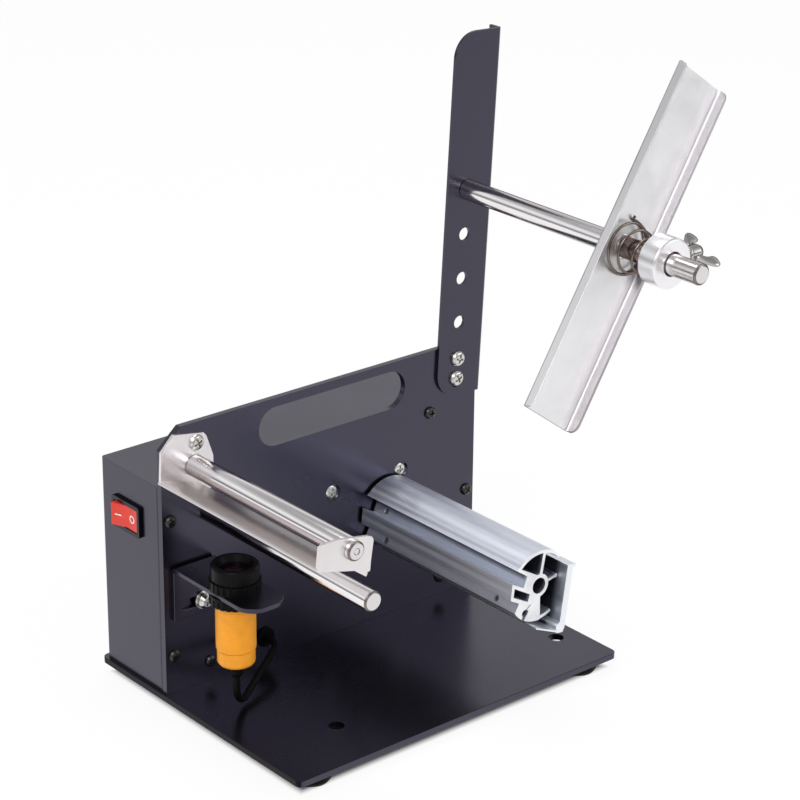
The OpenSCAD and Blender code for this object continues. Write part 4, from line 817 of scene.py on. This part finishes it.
class DISPENSER_OT_reel_bar(bpy.types.Operator):
    """Reel bar folded from satin sheet"""
    bl_idname = "dispenser.reel_bar"
    bl_label = "Reel bar"

    def execute(self, context):
        base = colours().bar
        material, shader, where = start_material("satin_sheet")
        local = centred(where, place((REEL_X, BAR_FRONT, REEL_Z)),
                        (0, math.radians(-BAR_TILT), 0))
        local = add_node("Mapping", {"Vector": local, "Rotation": (
            math.radians(BAR_NOD), 0, math.radians(BAR_TWIST))})[0]
        lines = drawn_lines(local, (2600, 2600, 70))
        trace, rub = handling(where, 0.016), handling(local, 0.028)
        # painted shade: the folds are darker than the web, most of all the right one's lower end,
        # the left one darker towards one end, and the web darkens towards the right fold; the
        # reddish specks are scuffs
        across, _, along = add_node("SeparateXYZ", {0: local})
        right, left = between(across, *FOLD_RIGHT), between(across, *FOLD_LEFT)
        stain = times(rub["Specks"], plus(0.25, right))
        tone = blended(trace["Cloud"], darker(base, 0.90), darker(base, 1.0))
        for share, value in (
                (times(lines["Lines"], 0.3), darker(base, 0.94)),
                # painted shade on the folds and on the web beside the right fold
                (times(right, between(along, -0.07, 0.07, 0.9, 0.6)), (0.33, 0.30, 0.315, 1)),
                (times(left, between(along, -0.06, 0.07, 0.0, 0.55)), (0.50, 0.49, 0.50, 1)),
                (between(across, 0.002, 0.013, 0.0, 0.10), (0.55, 0.54, 0.56, 1)),
                (number("MINIMUM", stain, 0.55), (0.36, 0.27, 0.24, 1))):
            tone = blended(share, tone, value)
        rough = plus(times(trace["Cloud"], 0.12), times(lines["Broad"], 0.05), 0.28)
        feed(shader, {"Base Color": tone, "Roughness": rough, "Metallic": 1.0,
                      "Specular Tint": (0.36, 0.33, 0.345, 1),
                      "Normal": bumps(lines["Lines"], 1.5)})
        rounded_copy("reel_bar", "sheet_edge", material, segments=3)
        return {"FINISHED"}


class DISPENSER_OT_spring(bpy.types.Operator):
    """Conical spring wound from round wire, with a short tail at its wide end"""
    bl_idname = "dispenser.spring"
    bl_label = "Spring"

    def execute(self, context):
        # The wire winds inwards as it comes forward: its radius falls by a smooth step,
        # and the wide turns follow the leaning face of the bar, whose rise fades.
        tilt, nod, twist = (math.radians(a) for a in (BAR_TILT, BAR_NOD, BAR_TWIST))
        t = np.linspace(0, 1, int(SPRING_TURNS * 56))
        turn = np.radians(62) - 2 * np.pi * SPRING_TURNS * t
        step = 0.35 * t + 0.65 * t * t * (3 - 2 * t)
        wide = SPRING_BIG_R + 0.3
        radius = wide - (wide - SPRING_SMALL_R) * step - SPRING_WIRE / 2
        x, z = radius * np.cos(turn), radius * np.sin(turn)
        rise = ((x * math.sin(tilt) + z * math.cos(tilt)) * math.tan(-nod)
                + (x * math.cos(tilt) - z * math.sin(tilt)) * math.tan(twist))
        forward = (0.15 + SPRING_WIRE / 2
                   + (SPRING_LENGTH - SPRING_WIRE - 0.25) * (0.25 * t + 0.75 * t * t))
        path = np.stack([x, -forward - (1 - t) ** 2 * rise, z], 1)
        # the tail bends outwards and forward on a short arc
        way = (path[0] - path[1]) / np.linalg.norm(path[0] - path[1])
        out = np.array([math.cos(turn[0]), -0.5, math.sin(turn[0])])
        bend = np.linspace(1, 0.12, 9)[:, None] * 1.6
        tail = path[0] + way * np.sin(bend) + out * 1.5 * (1 - np.cos(bend))
        path = place(np.concatenate([tail, path]) + (REEL_X, BAR_FRONT, REEL_Z))
        section = circle_section(SPRING_WIRE / 2 * MM, sizes().wire_sides)
        piece = surface_piece("spring_wire", shell(swept(path, section)), "spring_wire", 60)
        stands_for(piece, "reel_spring")
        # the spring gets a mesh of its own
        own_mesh(piece)
        return {"FINISHED"}


def wing_place(points):
    """From the wing screw's own axes (its axis is z) to the model's frame."""
    p = np.asarray(points, float)
    y, z = p[..., 1], -p[..., 0]
    c, s = math.cos(math.radians(WING_TURN)), math.sin(math.radians(WING_TURN))
    out = np.stack([p[..., 2], y * c - z * s, y * s + z * c], -1)
    return place(out + (REEL_X, COLLAR_MIDDLE, REEL_Z))


def wing_grid(side, base):
    """One wing: an oval section carried outwards along a bent spine. Its width swells
    at the tip and both half-axes close there as a quarter circle does."""
    s = np.linspace(0, 1, 40)[:, None]
    a, b, c = (np.array([y, base + z]) for y, z in ((0.6, 5.2), (6.4, 4.6), (8.6, 13.4)))
    spine = (1 - s) ** 2 * a + 2 * s * (1 - s) * b + s**2 * c
    tangent = 2 * (1 - s) * (b - a) + 2 * s * (c - b)
    tangent /= np.linalg.norm(tangent, axis=1)[:, None]
    normal = np.stack([-tangent[:, 1], tangent[:, 0]], 1)
    close = np.sqrt(np.clip(1 - np.clip((s - 0.76) / 0.24, 0, 1) ** 2, 0, 1))
    wide = (2.7 - 1.4 * np.sin(np.pi * s) ** 0.8 + 1.9 * s * s) * close
    thick = (1.55 - 0.35 * s) * close
    ca, sa = np.cos(circle(28)), np.sin(circle(28))
    u = wide * np.sign(ca) * np.abs(ca) ** 0.8
    v = thick * np.sign(sa) * np.abs(sa) ** 0.8
    y = side * (spine[:, :1] + u * normal[:, :1])
    z = spine[:, 1:] + u * normal[:, 1:]
    return wing_place(np.stack([v + 0 * y, y, z], -1))


class DISPENSER_OT_collar(bpy.types.Operator):
    """Shaft collar, and the cast wing screw that clamps it"""
    bl_idname = "dispenser.collar"
    bl_label = "Collar and wing screw"

    def execute(self, context):
        centre = place((REEL_X, 0, REEL_Z))
        collar = turned_metal("turned_collar", colours().collar, 0.30,
                              place((REEL_X, COLLAR_MIDDLE, REEL_Z)), 0.00016, 1.5, 0.10)
        low, high = ((corner.y - CORNER[1]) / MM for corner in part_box("shaft_collar"))
        hole = SHAFT_R + 0.06
        ring = turned_piece("collar_turned", [
            (hole, COLLAR_MIDDLE, 0), (hole, low + 0.7, 0.1), (hole + 0.7, low, 0.1),
            (COLLAR_R - 0.8, low, 0.35), (COLLAR_R, low + 0.8, 0.35),
            (COLLAR_R, high - 0.8, 0.35), (COLLAR_R - 0.8, high, 0.35), (hole, high, 0.1),
            (hole, COLLAR_MIDDLE, 0)], centre, collar, 50, steps=128, closed=True)
        away = np.linalg.norm((face_values(ring, "center") - centre)[:, [0, 2]], axis=1)
        # painted shade: the faces round the bore take the dark chamfer metal
        faces_take(ring, away < (SHAFT_R + 1.1) * MM, "turned_chamfer")
        stands_for(ring, "shaft_collar")
        # threaded end: the radius rises and falls once for each pitch along the screw
        base, pitch = COLLAR_R + 1.4, 0.8
        along = np.linspace(SHAFT_R + 0.1, base + 0.2, 90)[:, None]
        ridge = np.cos(2 * np.pi * along / pitch - circle(32))
        thread = ring_points(WING_SCREW_R - 0.17 + 0.15 * ridge, circle(32), along)
        skirt = rounded_outline([
            (0, base, 0), (4.1, base, 0.25), (4.3, base + 0.8, 0.4), (4.15, base + 1.6, 0.4),
            (3.75, base + 2.0, 0.3), (3.6, base + 6.8, 1.0), (2.6, base + 8.8, 0.8),
            (0, base + 9.1, 0)])
        boss = ring_points(skirt[:, :1], circle(56), skirt[:, 1:])
        parts = [shell(wing_place(thread)), shell(wing_place(boss), caps=False)]
        parts += [shell(wing_grid(side, base)) for side in (-1, 1)]
        stands_for(surface_piece("wing_screw_cast", joined(parts), "cast_wings", 55),
                   "wing_screw")
        return {"FINISHED"}


class DISPENSER_OT_peel(bpy.types.Operator):
    """Peel plate with its screws, guide roller and lower rod"""
    bl_idname = "dispenser.peel"
    bl_label = "Peel plate"

    def execute(self, context):
        plate = rounded_copy("peel_plate", "sheet_edge", "brushed_sheet", segments=3)
        # the upward faces take a darker, warmer copy of the sheet
        faces_take(plate, face_values(plate, "normal")[:, 2] > 0.9, "worn_sheet")
        domed_screws("peel_plate_screws", 2.5, 4.0, "plated_screw")
        # the roller's journals stand in the sheet at both ends
        centre = place((ROLLER_X, 0, ROLLER_Z))
        front, back = -PEEL_LENGTH + PEEL_SHEET + 0.3, -PEEL_SHEET - 0.3
        inner, outer = back + PEEL_SHEET + 2.5, -PEEL_LENGTH - 2.8
        roller = turned_piece("guide_roller_ground", [
            (0, inner, 0), (JOURNAL_R, inner, 0.3), (JOURNAL_R, back, 0), (ROLLER_R, back, 0.3),
            (ROLLER_R, front, 0.3), (JOURNAL_R, front, 0), (JOURNAL_R, outer + 0.7, 0.5),
            (JOURNAL_R - 0.9, outer, 0.4), (1.6, outer, 0.1), (1.2, outer + 0.3, 0.1),
            (0, outer + 0.3, 0)], centre, "ground_rod", 50)
        rod_ends(roller, outer, centre, chamfer=0.0018)
        stands_for(roller, "peel_roller")
        centre = place((ROD_X, 0, ROD_Z))
        stud = PANEL_THICKNESS + 7
        rod = turned_piece("lower_rod_ground", [
            (0, stud, 0), (STUD_R, stud, 0.4), (STUD_R, 0, 0), (ROD_R - 0.2, 0, 0),
            (ROD_R, -0.2, 0), (ROD_R, -ROD_LENGTH + 0.8, 0.4),
            (ROD_R - 0.8, -ROD_LENGTH, 0.4), (0, -ROD_LENGTH, 0)], centre, "ground_rod", 50)
        rod_ends(rod, -ROD_LENGTH, centre, chamfer=0.0009)
        stands_for(rod, "lower_rod")
        rounded_copy("lower_rod_nut", "screw_edge", "zinc_plate")
        return {"FINISHED"}


def barrel_grid():
    """The sensor's barrel. Its outline runs from the cable hole round the smooth cap,
    up the thread and into the lens recess. Along the thread the radius falls and
    rises once for each pitch, and the ridge winds up by one pitch a turn."""
    pitch, depth = sizes().thread_pitch / MM, sizes().thread_depth / MM
    low, high = 7.9, SENSOR_LENGTH - 0.9
    start = rounded_outline([
        (BOOT_R + 0.02, 4.5, 0), (BOOT_R + 0.02, 0, 0.15), (SENSOR_R - 1.3, 0, 0.5),
        (SENSOR_R - 0.5, 1.3, 0.6), (SENSOR_R - 0.5, 7.2, 0.2), (SENSOR_R - 0.95, 7.45, 0.1),
        (SENSOR_R - 0.95, low, 0)])
    end = rounded_outline([
        (SENSOR_R - 0.5, high, 0), (SENSOR_R - 0.9, SENSOR_LENGTH, 0.2),
        (SENSOR_R - 1.7, SENSOR_LENGTH, 0.2), (SENSOR_R - 2.0, SENSOR_LENGTH - 0.5, 0.1),
        (SENSOR_R - 2.0, SENSOR_LENGTH - 3, 0), (0, SENSOR_LENGTH - 3, 0)])
    turn = circle(132)
    z = np.linspace(low, high, int((high - low) / pitch * 12))[:, None]
    fade = np.clip((z - low) / 0.8, 0, 1) * np.clip((high - z) / 0.8, 0, 1)
    wave = 0.5 - 0.5 * np.cos(2 * np.pi * z / pitch - turn)
    thread = SENSOR_R - depth * (1 - fade) - depth * fade * wave
    rows = [ring_points(start[:, :1], turn, start[:, 1:]), ring_points(thread, turn, z),
            ring_points(end[:, :1], turn, end[:, 1:])]
    return place(np.concatenate(rows) + (SENSOR_X, SENSOR_Y, SENSOR_BOTTOM))


def edge_close(mesh):
    """Closes any open rim of the mesh with a flat face."""
    clean = bmesh.new()
    clean.from_mesh(mesh)
    rim = [e for e in clean.edges if e.is_boundary]
    if rim:
        bmesh.ops.holes_fill(clean, edges=rim, sides=0)
        bmesh.ops.recalc_face_normals(clean, faces=clean.faces)
    clean.to_mesh(mesh)
    clean.free()


class DISPENSER_OT_sensor(bpy.types.Operator):
    """Barrel sensor with its thread, nuts, hood, lens, bracket and boot"""
    bl_idname = "dispenser.sensor"
    bl_label = "Sensor"

    def execute(self, context):
        upright = {"along": (0, 0, 1)}
        centre = place((SENSOR_X, SENSOR_Y, 0))
        rounded_copy("sensor_bracket", "sheet_edge", "powder_coat", "powder_coat_edge")
        rounded_copy("bracket_screw", "screw_edge", "plated_screw")
        rounded_copy("bracket_washer", "screw_edge", "plated_screw")
        rounded_copy("bracket_nut", "screw_edge", "zinc_plate")
        orange = look("orange_barrel")
        feed(shader_of(orange), {
            "Subsurface Weight": 0.12, "Subsurface Radius": (0.0018, 0.0007, 0.0002),
            "Subsurface Scale": 1.0})
        barrel = surface_piece("sensor_barrel", shell(barrel_grid(), caps=False), orange, 75)
        edge_close(barrel.data)
        stands_for(barrel, "sensor_body")
        # the window is a shallow dome: its height falls with the square of the radius
        rim = SENSOR_BOTTOM + SENSOR_LENGTH
        base = rim - 3
        r = np.linspace(0, SENSOR_R - 2.1, 12)
        dome = np.stack([r, base + 2.0 - 0.9 * (r / r[-1]) ** 2], 1)
        outline = np.concatenate([dome, [(r[-1], base + 0.02), (0, base + 0.02)]])
        window = turned(outline * MM, centre, steps=64, **upright)
        stands_for(surface_piece("lens_window", window, "dark_lens"), "sensor_lens")
        # black front ring: a low step round the window
        front = turned_piece("sensor_front_ring", [
            (SENSOR_R - 2.3, rim - 2.8, 0), (SENSOR_R - 2.3, rim + 0.3, 0.2),
            (SENSOR_R - 1.2, rim + 0.6, 0.2), (SENSOR_R - 0.3, rim + 0.25, 0.2),
            (SENSOR_R - 0.3, rim + 0.02, 0), (SENSOR_R - 1.9, rim + 0.02, 0),
            (SENSOR_R - 2.03, rim - 2.8, 0), (SENSOR_R - 2.3, rim - 2.8, 0)],
            centre, "black_plastic", steps=72, closed=True, **upright)
        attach(front, BODY_OF["sensor_lens"])
        for node in ("sensor_upper_nut", "sensor_lower_nut", "sensor_hood"):
            rounded_copy(node, 0.00025, "black_plastic")
        bottom, hole, wide = SENSOR_BOTTOM - BOOT_HEIGHT, CABLE_D / 2 + 0.05, BOOT_R - 0.05
        boot = turned_piece("boot_moulded", [
            (hole, bottom + 8, 0), (hole, bottom, 0.1), (BOOT_R - 0.8, bottom, 0.4),
            (wide, bottom + 2.1, 0.8), (wide, bottom + 4.1, 0.1),
            (BOOT_R - 0.4, bottom + 4.3, 0.1), (BOOT_R - 0.4, bottom + 4.9, 0.1),
            (wide, bottom + 5.1, 0.1), (wide, bottom + 11, 0.1), (hole, bottom + 11, 0),
            (hole, bottom + 8, 0)], centre, "rubber", steps=48, closed=True, **upright)
        stands_for(boot, "cable_boot")
        return {"FINISHED"}


class DISPENSER_OT_cable(bpy.types.Operator):
    """Sensor cable from the boot to the grommet in the panel"""
    bl_idname = "dispenser.cable"
    bl_label = "Sensor cable"

    def execute(self, context):
        rise, plan = math.radians(CABLE_RISE), math.radians(CABLE_PLAN)
        end_turn = math.acos(math.cos(rise) * math.sin(plan))
        end_t = CABLE_END_R * math.tan(end_turn / 2)
        reach = CABLE_BEND * (1 + math.sin(rise))
        span = CABLE_HOLE_X - SENSOR_X - reach * math.cos(plan)
        run = span / (math.cos(rise) * math.cos(plan))
        drop_z = CABLE_HOLE_Z + CABLE_BEND * math.cos(rise) - run * math.sin(rise)
        y_end = (SENSOR_Y + reach * math.sin(plan)
                 + run * math.cos(rise) * math.sin(plan) + end_t)
        top = (SENSOR_X, SENSOR_Y, SENSOR_BOTTOM - BOOT_HEIGHT + 4.0)
        inside = (CABLE_HOLE_X, PANEL_THICKNESS + 9, CABLE_HOLE_Z)
        # first bend: a quarter circle and a little more, from straight down to the run
        a = np.radians(np.linspace(0, 90 + CABLE_RISE, 22))
        first = np.stack([SENSOR_X + CABLE_BEND * (1 - np.cos(a)) * math.cos(plan),
                          SENSOR_Y + CABLE_BEND * (1 - np.cos(a)) * math.sin(plan),
                          drop_z - CABLE_BEND * np.sin(a)], 1)
        side = np.array([math.cos(rise) * math.cos(plan), 0, math.sin(rise)])
        side /= np.linalg.norm(side)
        b = np.linspace(end_turn, 0, 16)[:, None]
        last = ((CABLE_HOLE_X, y_end, CABLE_HOLE_Z) - CABLE_END_R * (1 - np.cos(b)) * side
                - np.concatenate([0 * b, CABLE_END_R * np.sin(b), 0 * b], 1))
        path = np.concatenate([[top], first, last, [inside]])
        # even steps of about 1.2 mm along the line
        gone = np.concatenate([[0], np.cumsum(np.linalg.norm(np.diff(path, axis=0), axis=1))])
        even = np.linspace(0, gone[-1], int(gone[-1] / 1.2))
        path = place(np.stack([np.interp(even, gone, path[:, i]) for i in range(3)], 1))
        jacket = shell(swept(path, circle_section(CABLE_D / 2 * MM, 20)))
        piece = surface_piece("cable_jacket", jacket, "rubber", 60)
        tuple(path[3])
        tuple(path[-10])
        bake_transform(piece)
        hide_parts("sensor_cable")
        tuple(path[0])
        rounded_copy("cable_grommet", 0.0003, "rubber", segments=3)
        return {"FINISHED"}


class DISPENSER_OT_drum(bpy.types.Operator):
    """Rewind drum, clamp bar, set screws and drive shaft"""
    bl_idname = "dispenser.drum"
    bl_label = "Rewind drum"

    def execute(self, context):
        front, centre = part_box("rewind_drum")[0].y, place((DRUM_X, 0, DRUM_Z))

        def hollow(where):
            """Painted shade: 1 in the hollows, rising with depth behind the front face."""
            x, y, z = add_node("SeparateXYZ", {0: where})
            x, z = number("SUBTRACT", x, centre[0]), number("SUBTRACT", z, centre[2])
            far = number("SQRT", plus(times(x, x), times(z, z)))
            return times(between(far, 0.0151, 0.0145), between(y, front, front + 0.002),
                         between(x, -0.0082, -0.0074))

        def behind(where):
            """Painted shade: 1 behind the drum's front face, 0 where the strip stands out of it.
            """
            y = add_node("SeparateXYZ", {0: where})[1]
            return between(y, front - 0.001, front + 0.002)

        piece = rounded_copy("rewind_drum", "drum_edge", "extruded_section", limit=35)
        # painted shade in the drum's hollows
        toned(look("extruded_section"), hollow, (0.19, 0.195, 0.25, 1))
        faces_take(piece, face_values(piece, "normal")[:, 1] < -0.9, "sawn_face")
        strip = rounded_copy("drum_clip", "sheet_edge", "bright_strip", segments=3)
        # painted shade: the strip's inner faces take the darker copy, darker still behind the
        # drum's front face
        toned(look("strip_inside"), behind, (0.12, 0.125, 0.17, 1))
        faces_take(strip, face_values(strip, "normal")[:, 0] < -0.9, "strip_inside")
        rounded_copy("drum_set_screws", 0.0001, "set_screw")
        rounded_copy("output_shaft", 0.0002, "zinc_plate")
        return {"FINISHED"}


class DISPENSER_OT_drive(bpy.types.Operator):
    """Gearbox, motor and their screws, inside the cover"""
    bl_idname = "dispenser.drive"
    bl_label = "Drive"

    def execute(self, context):
        rounded_copy("gearbox", "block_edge", "cast_housing", segments=3)
        rounded_copy("motor", 0.0005, "zinc_plate", segments=3)
        domed_screws("motor_screws", 2.0, 3.0, "plated_screw")
        return {"FINISHED"}


def line_mark():
    """A rounded block: a sphere's three parts raised to a quarter, times half sizes."""
    v = np.linspace(-np.pi / 2, np.pi / 2, 18)[:, None]
    grid = ring_points(np.cos(v), circle(28), np.sin(v))
    return np.sign(grid) * np.abs(grid) ** 0.25 * (1.75, 0.28, 0.05)


def ring_mark():
    """A ring of oval section, 1.12 times the size of its tube's circle."""
    ring, tube = circle(40)[:, None], circle(12)
    return ring_points((1.4 + 0.30 * np.cos(tube)) * 1.12, ring, 0.05 * np.sin(tube))


class DISPENSER_OT_switch(bpy.types.Operator):
    """Rocker switch with its frame, printed marks and terminals"""
    bl_idname = "dispenser.switch"
    bl_label = "Switch"

    def execute(self, context):
        # the front faces keep the glossier coat and the rest take black plastic: painted light on
        # the rim, painted shade on the frame's top and sides
        surround = rounded_copy("switch_frame", 0.0003, "switch_rim", segments=3)
        faces_take(surround, face_values(surround, "normal")[:, 0] > -0.7, "black_plastic")
        rounded_copy("switch_rocker", 0.00045, "red_rocker", segments=3)
        c, s = math.cos(math.radians(ROCKER_ANGLE)), math.sin(math.radians(ROCKER_ANGLE))
        spin = np.array([[c, -s, 0], [s, c, 0], [0, 0, 1]])
        parts = []
        # each mark lies on its own half of the rocker, from the ridge to the tip
        for tip, grid, wrap in ((7.9, line_mark(), False), (-7.9, ring_mark(), True)):
            ridge, tip = np.array([-2.2, 0.0, 0.0]), np.array([-3.9, tip, 0.0])
            along = (tip - ridge) / np.linalg.norm(tip - ridge)
            out = np.array([-abs(along[1]), along[0] * np.sign(along[1]), 0.0])
            local = (ridge + tip) / 2 + along * 0.3 + grid @ np.stack([along, (0, 0, 1), out])
            points = place(local @ spin.T + (SWITCH_X, SWITCH_Y, SWITCH_Z))
            parts.append(shell(points, wrap_rows=wrap, caps=False))
        marks = surface_piece("rocker_marks", joined(parts), "white_print")
        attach(marks, BODY_OF["switch_rocker"])
        rounded_copy("switch_terminals", 0.0001, "brass")
        return {"FINISHED"}


class DISPENSER_OT_electrics(bpy.types.Operator):
    """Power socket, control board and wires"""
    bl_idname = "dispenser.electrics"
    bl_label = "Electrics"

    def execute(self, context):
        for row in (
                ("power_socket", 0.0003, "black_plastic"), ("socket_pin", 0.0002, "plated_screw"),
                ("socket_nut", "screw_edge", "zinc_plate"),
                ("control_board", 0.0001, "board_lacquer"), ("board_spacers", 0.0002, "brass"),
                ("board_screws", 0.0001, "plated_screw"),
                ("board_parts", 0.0003, "black_plastic")):
            rounded_copy(*row)
        wires = frame["nodes"]["wiring"].data.materials
        wires.clear()
        wires.append(look("wire_insulation"))
        return {"FINISHED"}


# ------------------------------------------------------------------ stage
def frame_matrix(x, y, z, where):
    matrix = np.eye(4)
    matrix[:3] = np.stack([x, y, z, where], 1)
    return Matrix(matrix.tolist())


def lamp(name, where, towards, size, power):
    data = bpy.data.lights.new(name, "AREA")
    data.shape, data.size, data.energy = "SQUARE", size, power
    light = bpy.data.objects.new(name, data)
    bpy.context.scene.collection.objects.link(light)
    back = np.asarray(where, float) - np.asarray(towards, float)
    back /= np.linalg.norm(back)
    side = np.cross((0, 0, 1), back)
    side /= np.linalg.norm(side)
    light.matrix_world = frame_matrix(side, np.cross(back, side), back, where)


class DISPENSER_OT_camera(bpy.types.Operator):
    """Camera at the photograph's viewing angle"""
    bl_idname = "dispenser.camera"
    bl_label = "Camera"

    def execute(self, context):
        a, e, r = (math.radians(v) for v in (CAMERA_AZIMUTH, CAMERA_ELEVATION, CAMERA_ROLL))
        back = np.array([math.sin(a) * math.cos(e), -math.cos(a) * math.cos(e), math.sin(e)])
        right = np.array([math.cos(a), math.sin(a), 0])
        up = np.cross(back, right)
        data = bpy.data.cameras.new("camera")
        data.sensor_width, data.sensor_fit = SENSOR_WIDTH, "HORIZONTAL"
        data.lens = CAMERA_FOCAL_PX / PHOTO_PX * SENSOR_WIDTH
        data.clip_start, data.clip_end = 0.01, 50
        camera = bpy.data.objects.new("camera", data)
        context.scene.collection.objects.link(camera)
        camera.matrix_world = frame_matrix(
            math.cos(r) * right + math.sin(r) * up, math.cos(r) * up - math.sin(r) * right,
            back, place(CAMERA_PLACE))
        context.scene.camera = camera
        return {"FINISHED"}


class DISPENSER_OT_stage(bpy.types.Operator):
    """Pale floor, soft lamps and a white surround"""
    bl_idname = "dispenser.stage"
    bl_label = "Stage"

    def execute(self, context):
        self.floor()
        self.surround(context)
        # name, place, aim, size and power; metres and watts
        for row in (("key", (-1.5, -0.9, 1.7), (0, 0, 0.12), 1.1, 22),
                    ("fill", (1.3, -1.7, 1.1), (0, 0, 0.12), 1.3, 12),
                    ("top", (0.1, 0.5, 2.1), (0, 0, 0.1), 1.2, 16)):
            lamp(*row)
        context.scene.view_settings.view_transform = "Standard"
        return {"FINISHED"}

    def floor(self):
        """A pale sheet that glows for the camera and in gloss, but not under the base:
        the glow starts 6 mm inside its outline and is full 4 mm further out."""
        half = 2.2
        corners = [(-half, -half, 0), (half, -half, 0), (half, half, 0), (-half, half, 0)]
        mesh = bpy.data.meshes.new("floor")
        mesh.from_pydata(corners, [], [(0, 1, 2, 3)])
        material, shader, where = start_material("pale_floor")
        tree = material.node_tree
        floor = new_piece("floor", mesh, material)
        feed(shader, {"Base Color": colours().floor, "Roughness": 0.9,
                      "Specular IOR Level": 0.1})
        path = add_node("LightPath", tree=tree)
        glow = add_node("Emission", {"Color": WHITE, "Strength": 1.01}, tree)
        share = number("MAXIMUM", times(path["Is Camera Ray"], 0.90), path["Is Glossy Ray"])
        low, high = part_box("base_plate")
        away = vector("SUBTRACT", where, tuple((low + high) / 2))[0]
        x, y, _ = add_node("SeparateXYZ", {0: vector("ABSOLUTE", away)[0]})
        inset, fade = 0.006, 0.004
        half_x, half_y = (high.x - low.x) / 2 - inset, (high.y - low.y) / 2 - inset
        outside = number("MAXIMUM", between(x, half_x, half_x + fade),
                         between(y, half_y, half_y + fade))
        mix = add_node("MixShader", {0: times(share, outside), 1: shader.outputs[0],
                                     2: glow[0]})[0]
        feed(next(n for n in tree.nodes if n.type == "OUTPUT_MATERIAL"), {0: mix})

    def surround(self, context):
        """White for the camera; for gloss a soft room, brighter a little above the
        horizon and overhead, and darker at the horizon."""
        world = bpy.data.worlds.new("studio")
        world.use_nodes = True
        context.scene.world = world
        tree = world.node_tree
        tree.nodes.clear()
        way = add_node("TexCoord", tree=tree)["Generated"]
        height = add_node("SeparateXYZ", {0: way})[2]
        ramp = add_node("ValToRGB", {0: between(height, -1, 1)})[0]
        # height in the room (0 at the bottom, 1 overhead) and its grey
        stops = ((0.0, 0.95), (0.42, 0.90), (0.46, 0.30), (0.55, 0.22), (0.63, 0.78),
                 (0.70, 0.98), (0.77, 0.66), (0.84, 0.36), (0.92, 0.45), (1.0, 0.62))
        elements = ramp.node.color_ramp.elements
        elements[0].position, elements[1].position = stops[0][0], stops[-1][0]
        for position, _ in stops[1:-1]:
            elements.new(position)
        for element, (_, grey) in zip(elements, stops):
            element.color = (grey, grey, grey * 1.01, 1)
        path = add_node("LightPath", tree=tree)
        seen, room, soft = (
            add_node("Background", {"Color": light, "Strength": strength}, tree)[0]
            for light, strength in ((WHITE, 1.0), (ramp, 1.0), (WHITE, 0.5)))
        shiny = number("MAXIMUM", path["Is Glossy Ray"], path["Is Transmission Ray"])
        mixed = add_node("MixShader", {0: shiny, 1: soft, 2: room})[0]
        final = add_node("MixShader", {0: path["Is Camera Ray"], 1: mixed, 2: seen})[0]
        add_node("OutputWorld", {0: final})


class DISPENSER_PT_pieces(bpy.types.Panel):
    """Lists the pieces and their sizes and colours"""
    bl_label = "Label dispenser"
    bl_idname = "DISPENSER_PT_pieces"
    bl_space_type = "VIEW_3D"
    bl_region_type = "UI"
    bl_category = "Dispenser"

    def draw(self, context):
        for operator in OPERATORS:
            self.layout.operator(operator.bl_idname)
        for group in (context.scene.dispenser_sizes, context.scene.dispenser_colours):
            column = self.layout.column()
            for name in group.bl_rna.properties.keys():
                if name not in ("rna_type", "name"):
                    column.prop(group, name)


OPERATORS = (
    DISPENSER_OT_camera, DISPENSER_OT_cable, DISPENSER_OT_base, DISPENSER_OT_body,
    DISPENSER_OT_post, DISPENSER_OT_shaft, DISPENSER_OT_reel_bar, DISPENSER_OT_spring,
    DISPENSER_OT_collar, DISPENSER_OT_peel, DISPENSER_OT_sensor, DISPENSER_OT_drum,
    DISPENSER_OT_drive, DISPENSER_OT_switch, DISPENSER_OT_electrics, DISPENSER_OT_stage)
CLASSES = (DispenserColours, DispenserSizes) + OPERATORS + (DISPENSER_PT_pieces,)


def register():
    for cls in CLASSES:
        bpy.utils.register_class(cls)
    bpy.types.Scene.dispenser_colours = PointerProperty(type=DispenserColours)
    bpy.types.Scene.dispenser_sizes = PointerProperty(type=DispenserSizes)


def unregister():
    del bpy.types.Scene.dispenser_sizes
    del bpy.types.Scene.dispenser_colours
    for cls in reversed(CLASSES):
        bpy.utils.unregister_class(cls)


def main():
    register()
    for operator in OPERATORS:
        name = operator.bl_idname.split(".")[1]
        getattr(bpy.ops.dispenser, name)()


if __name__ == "__main__":
    main()
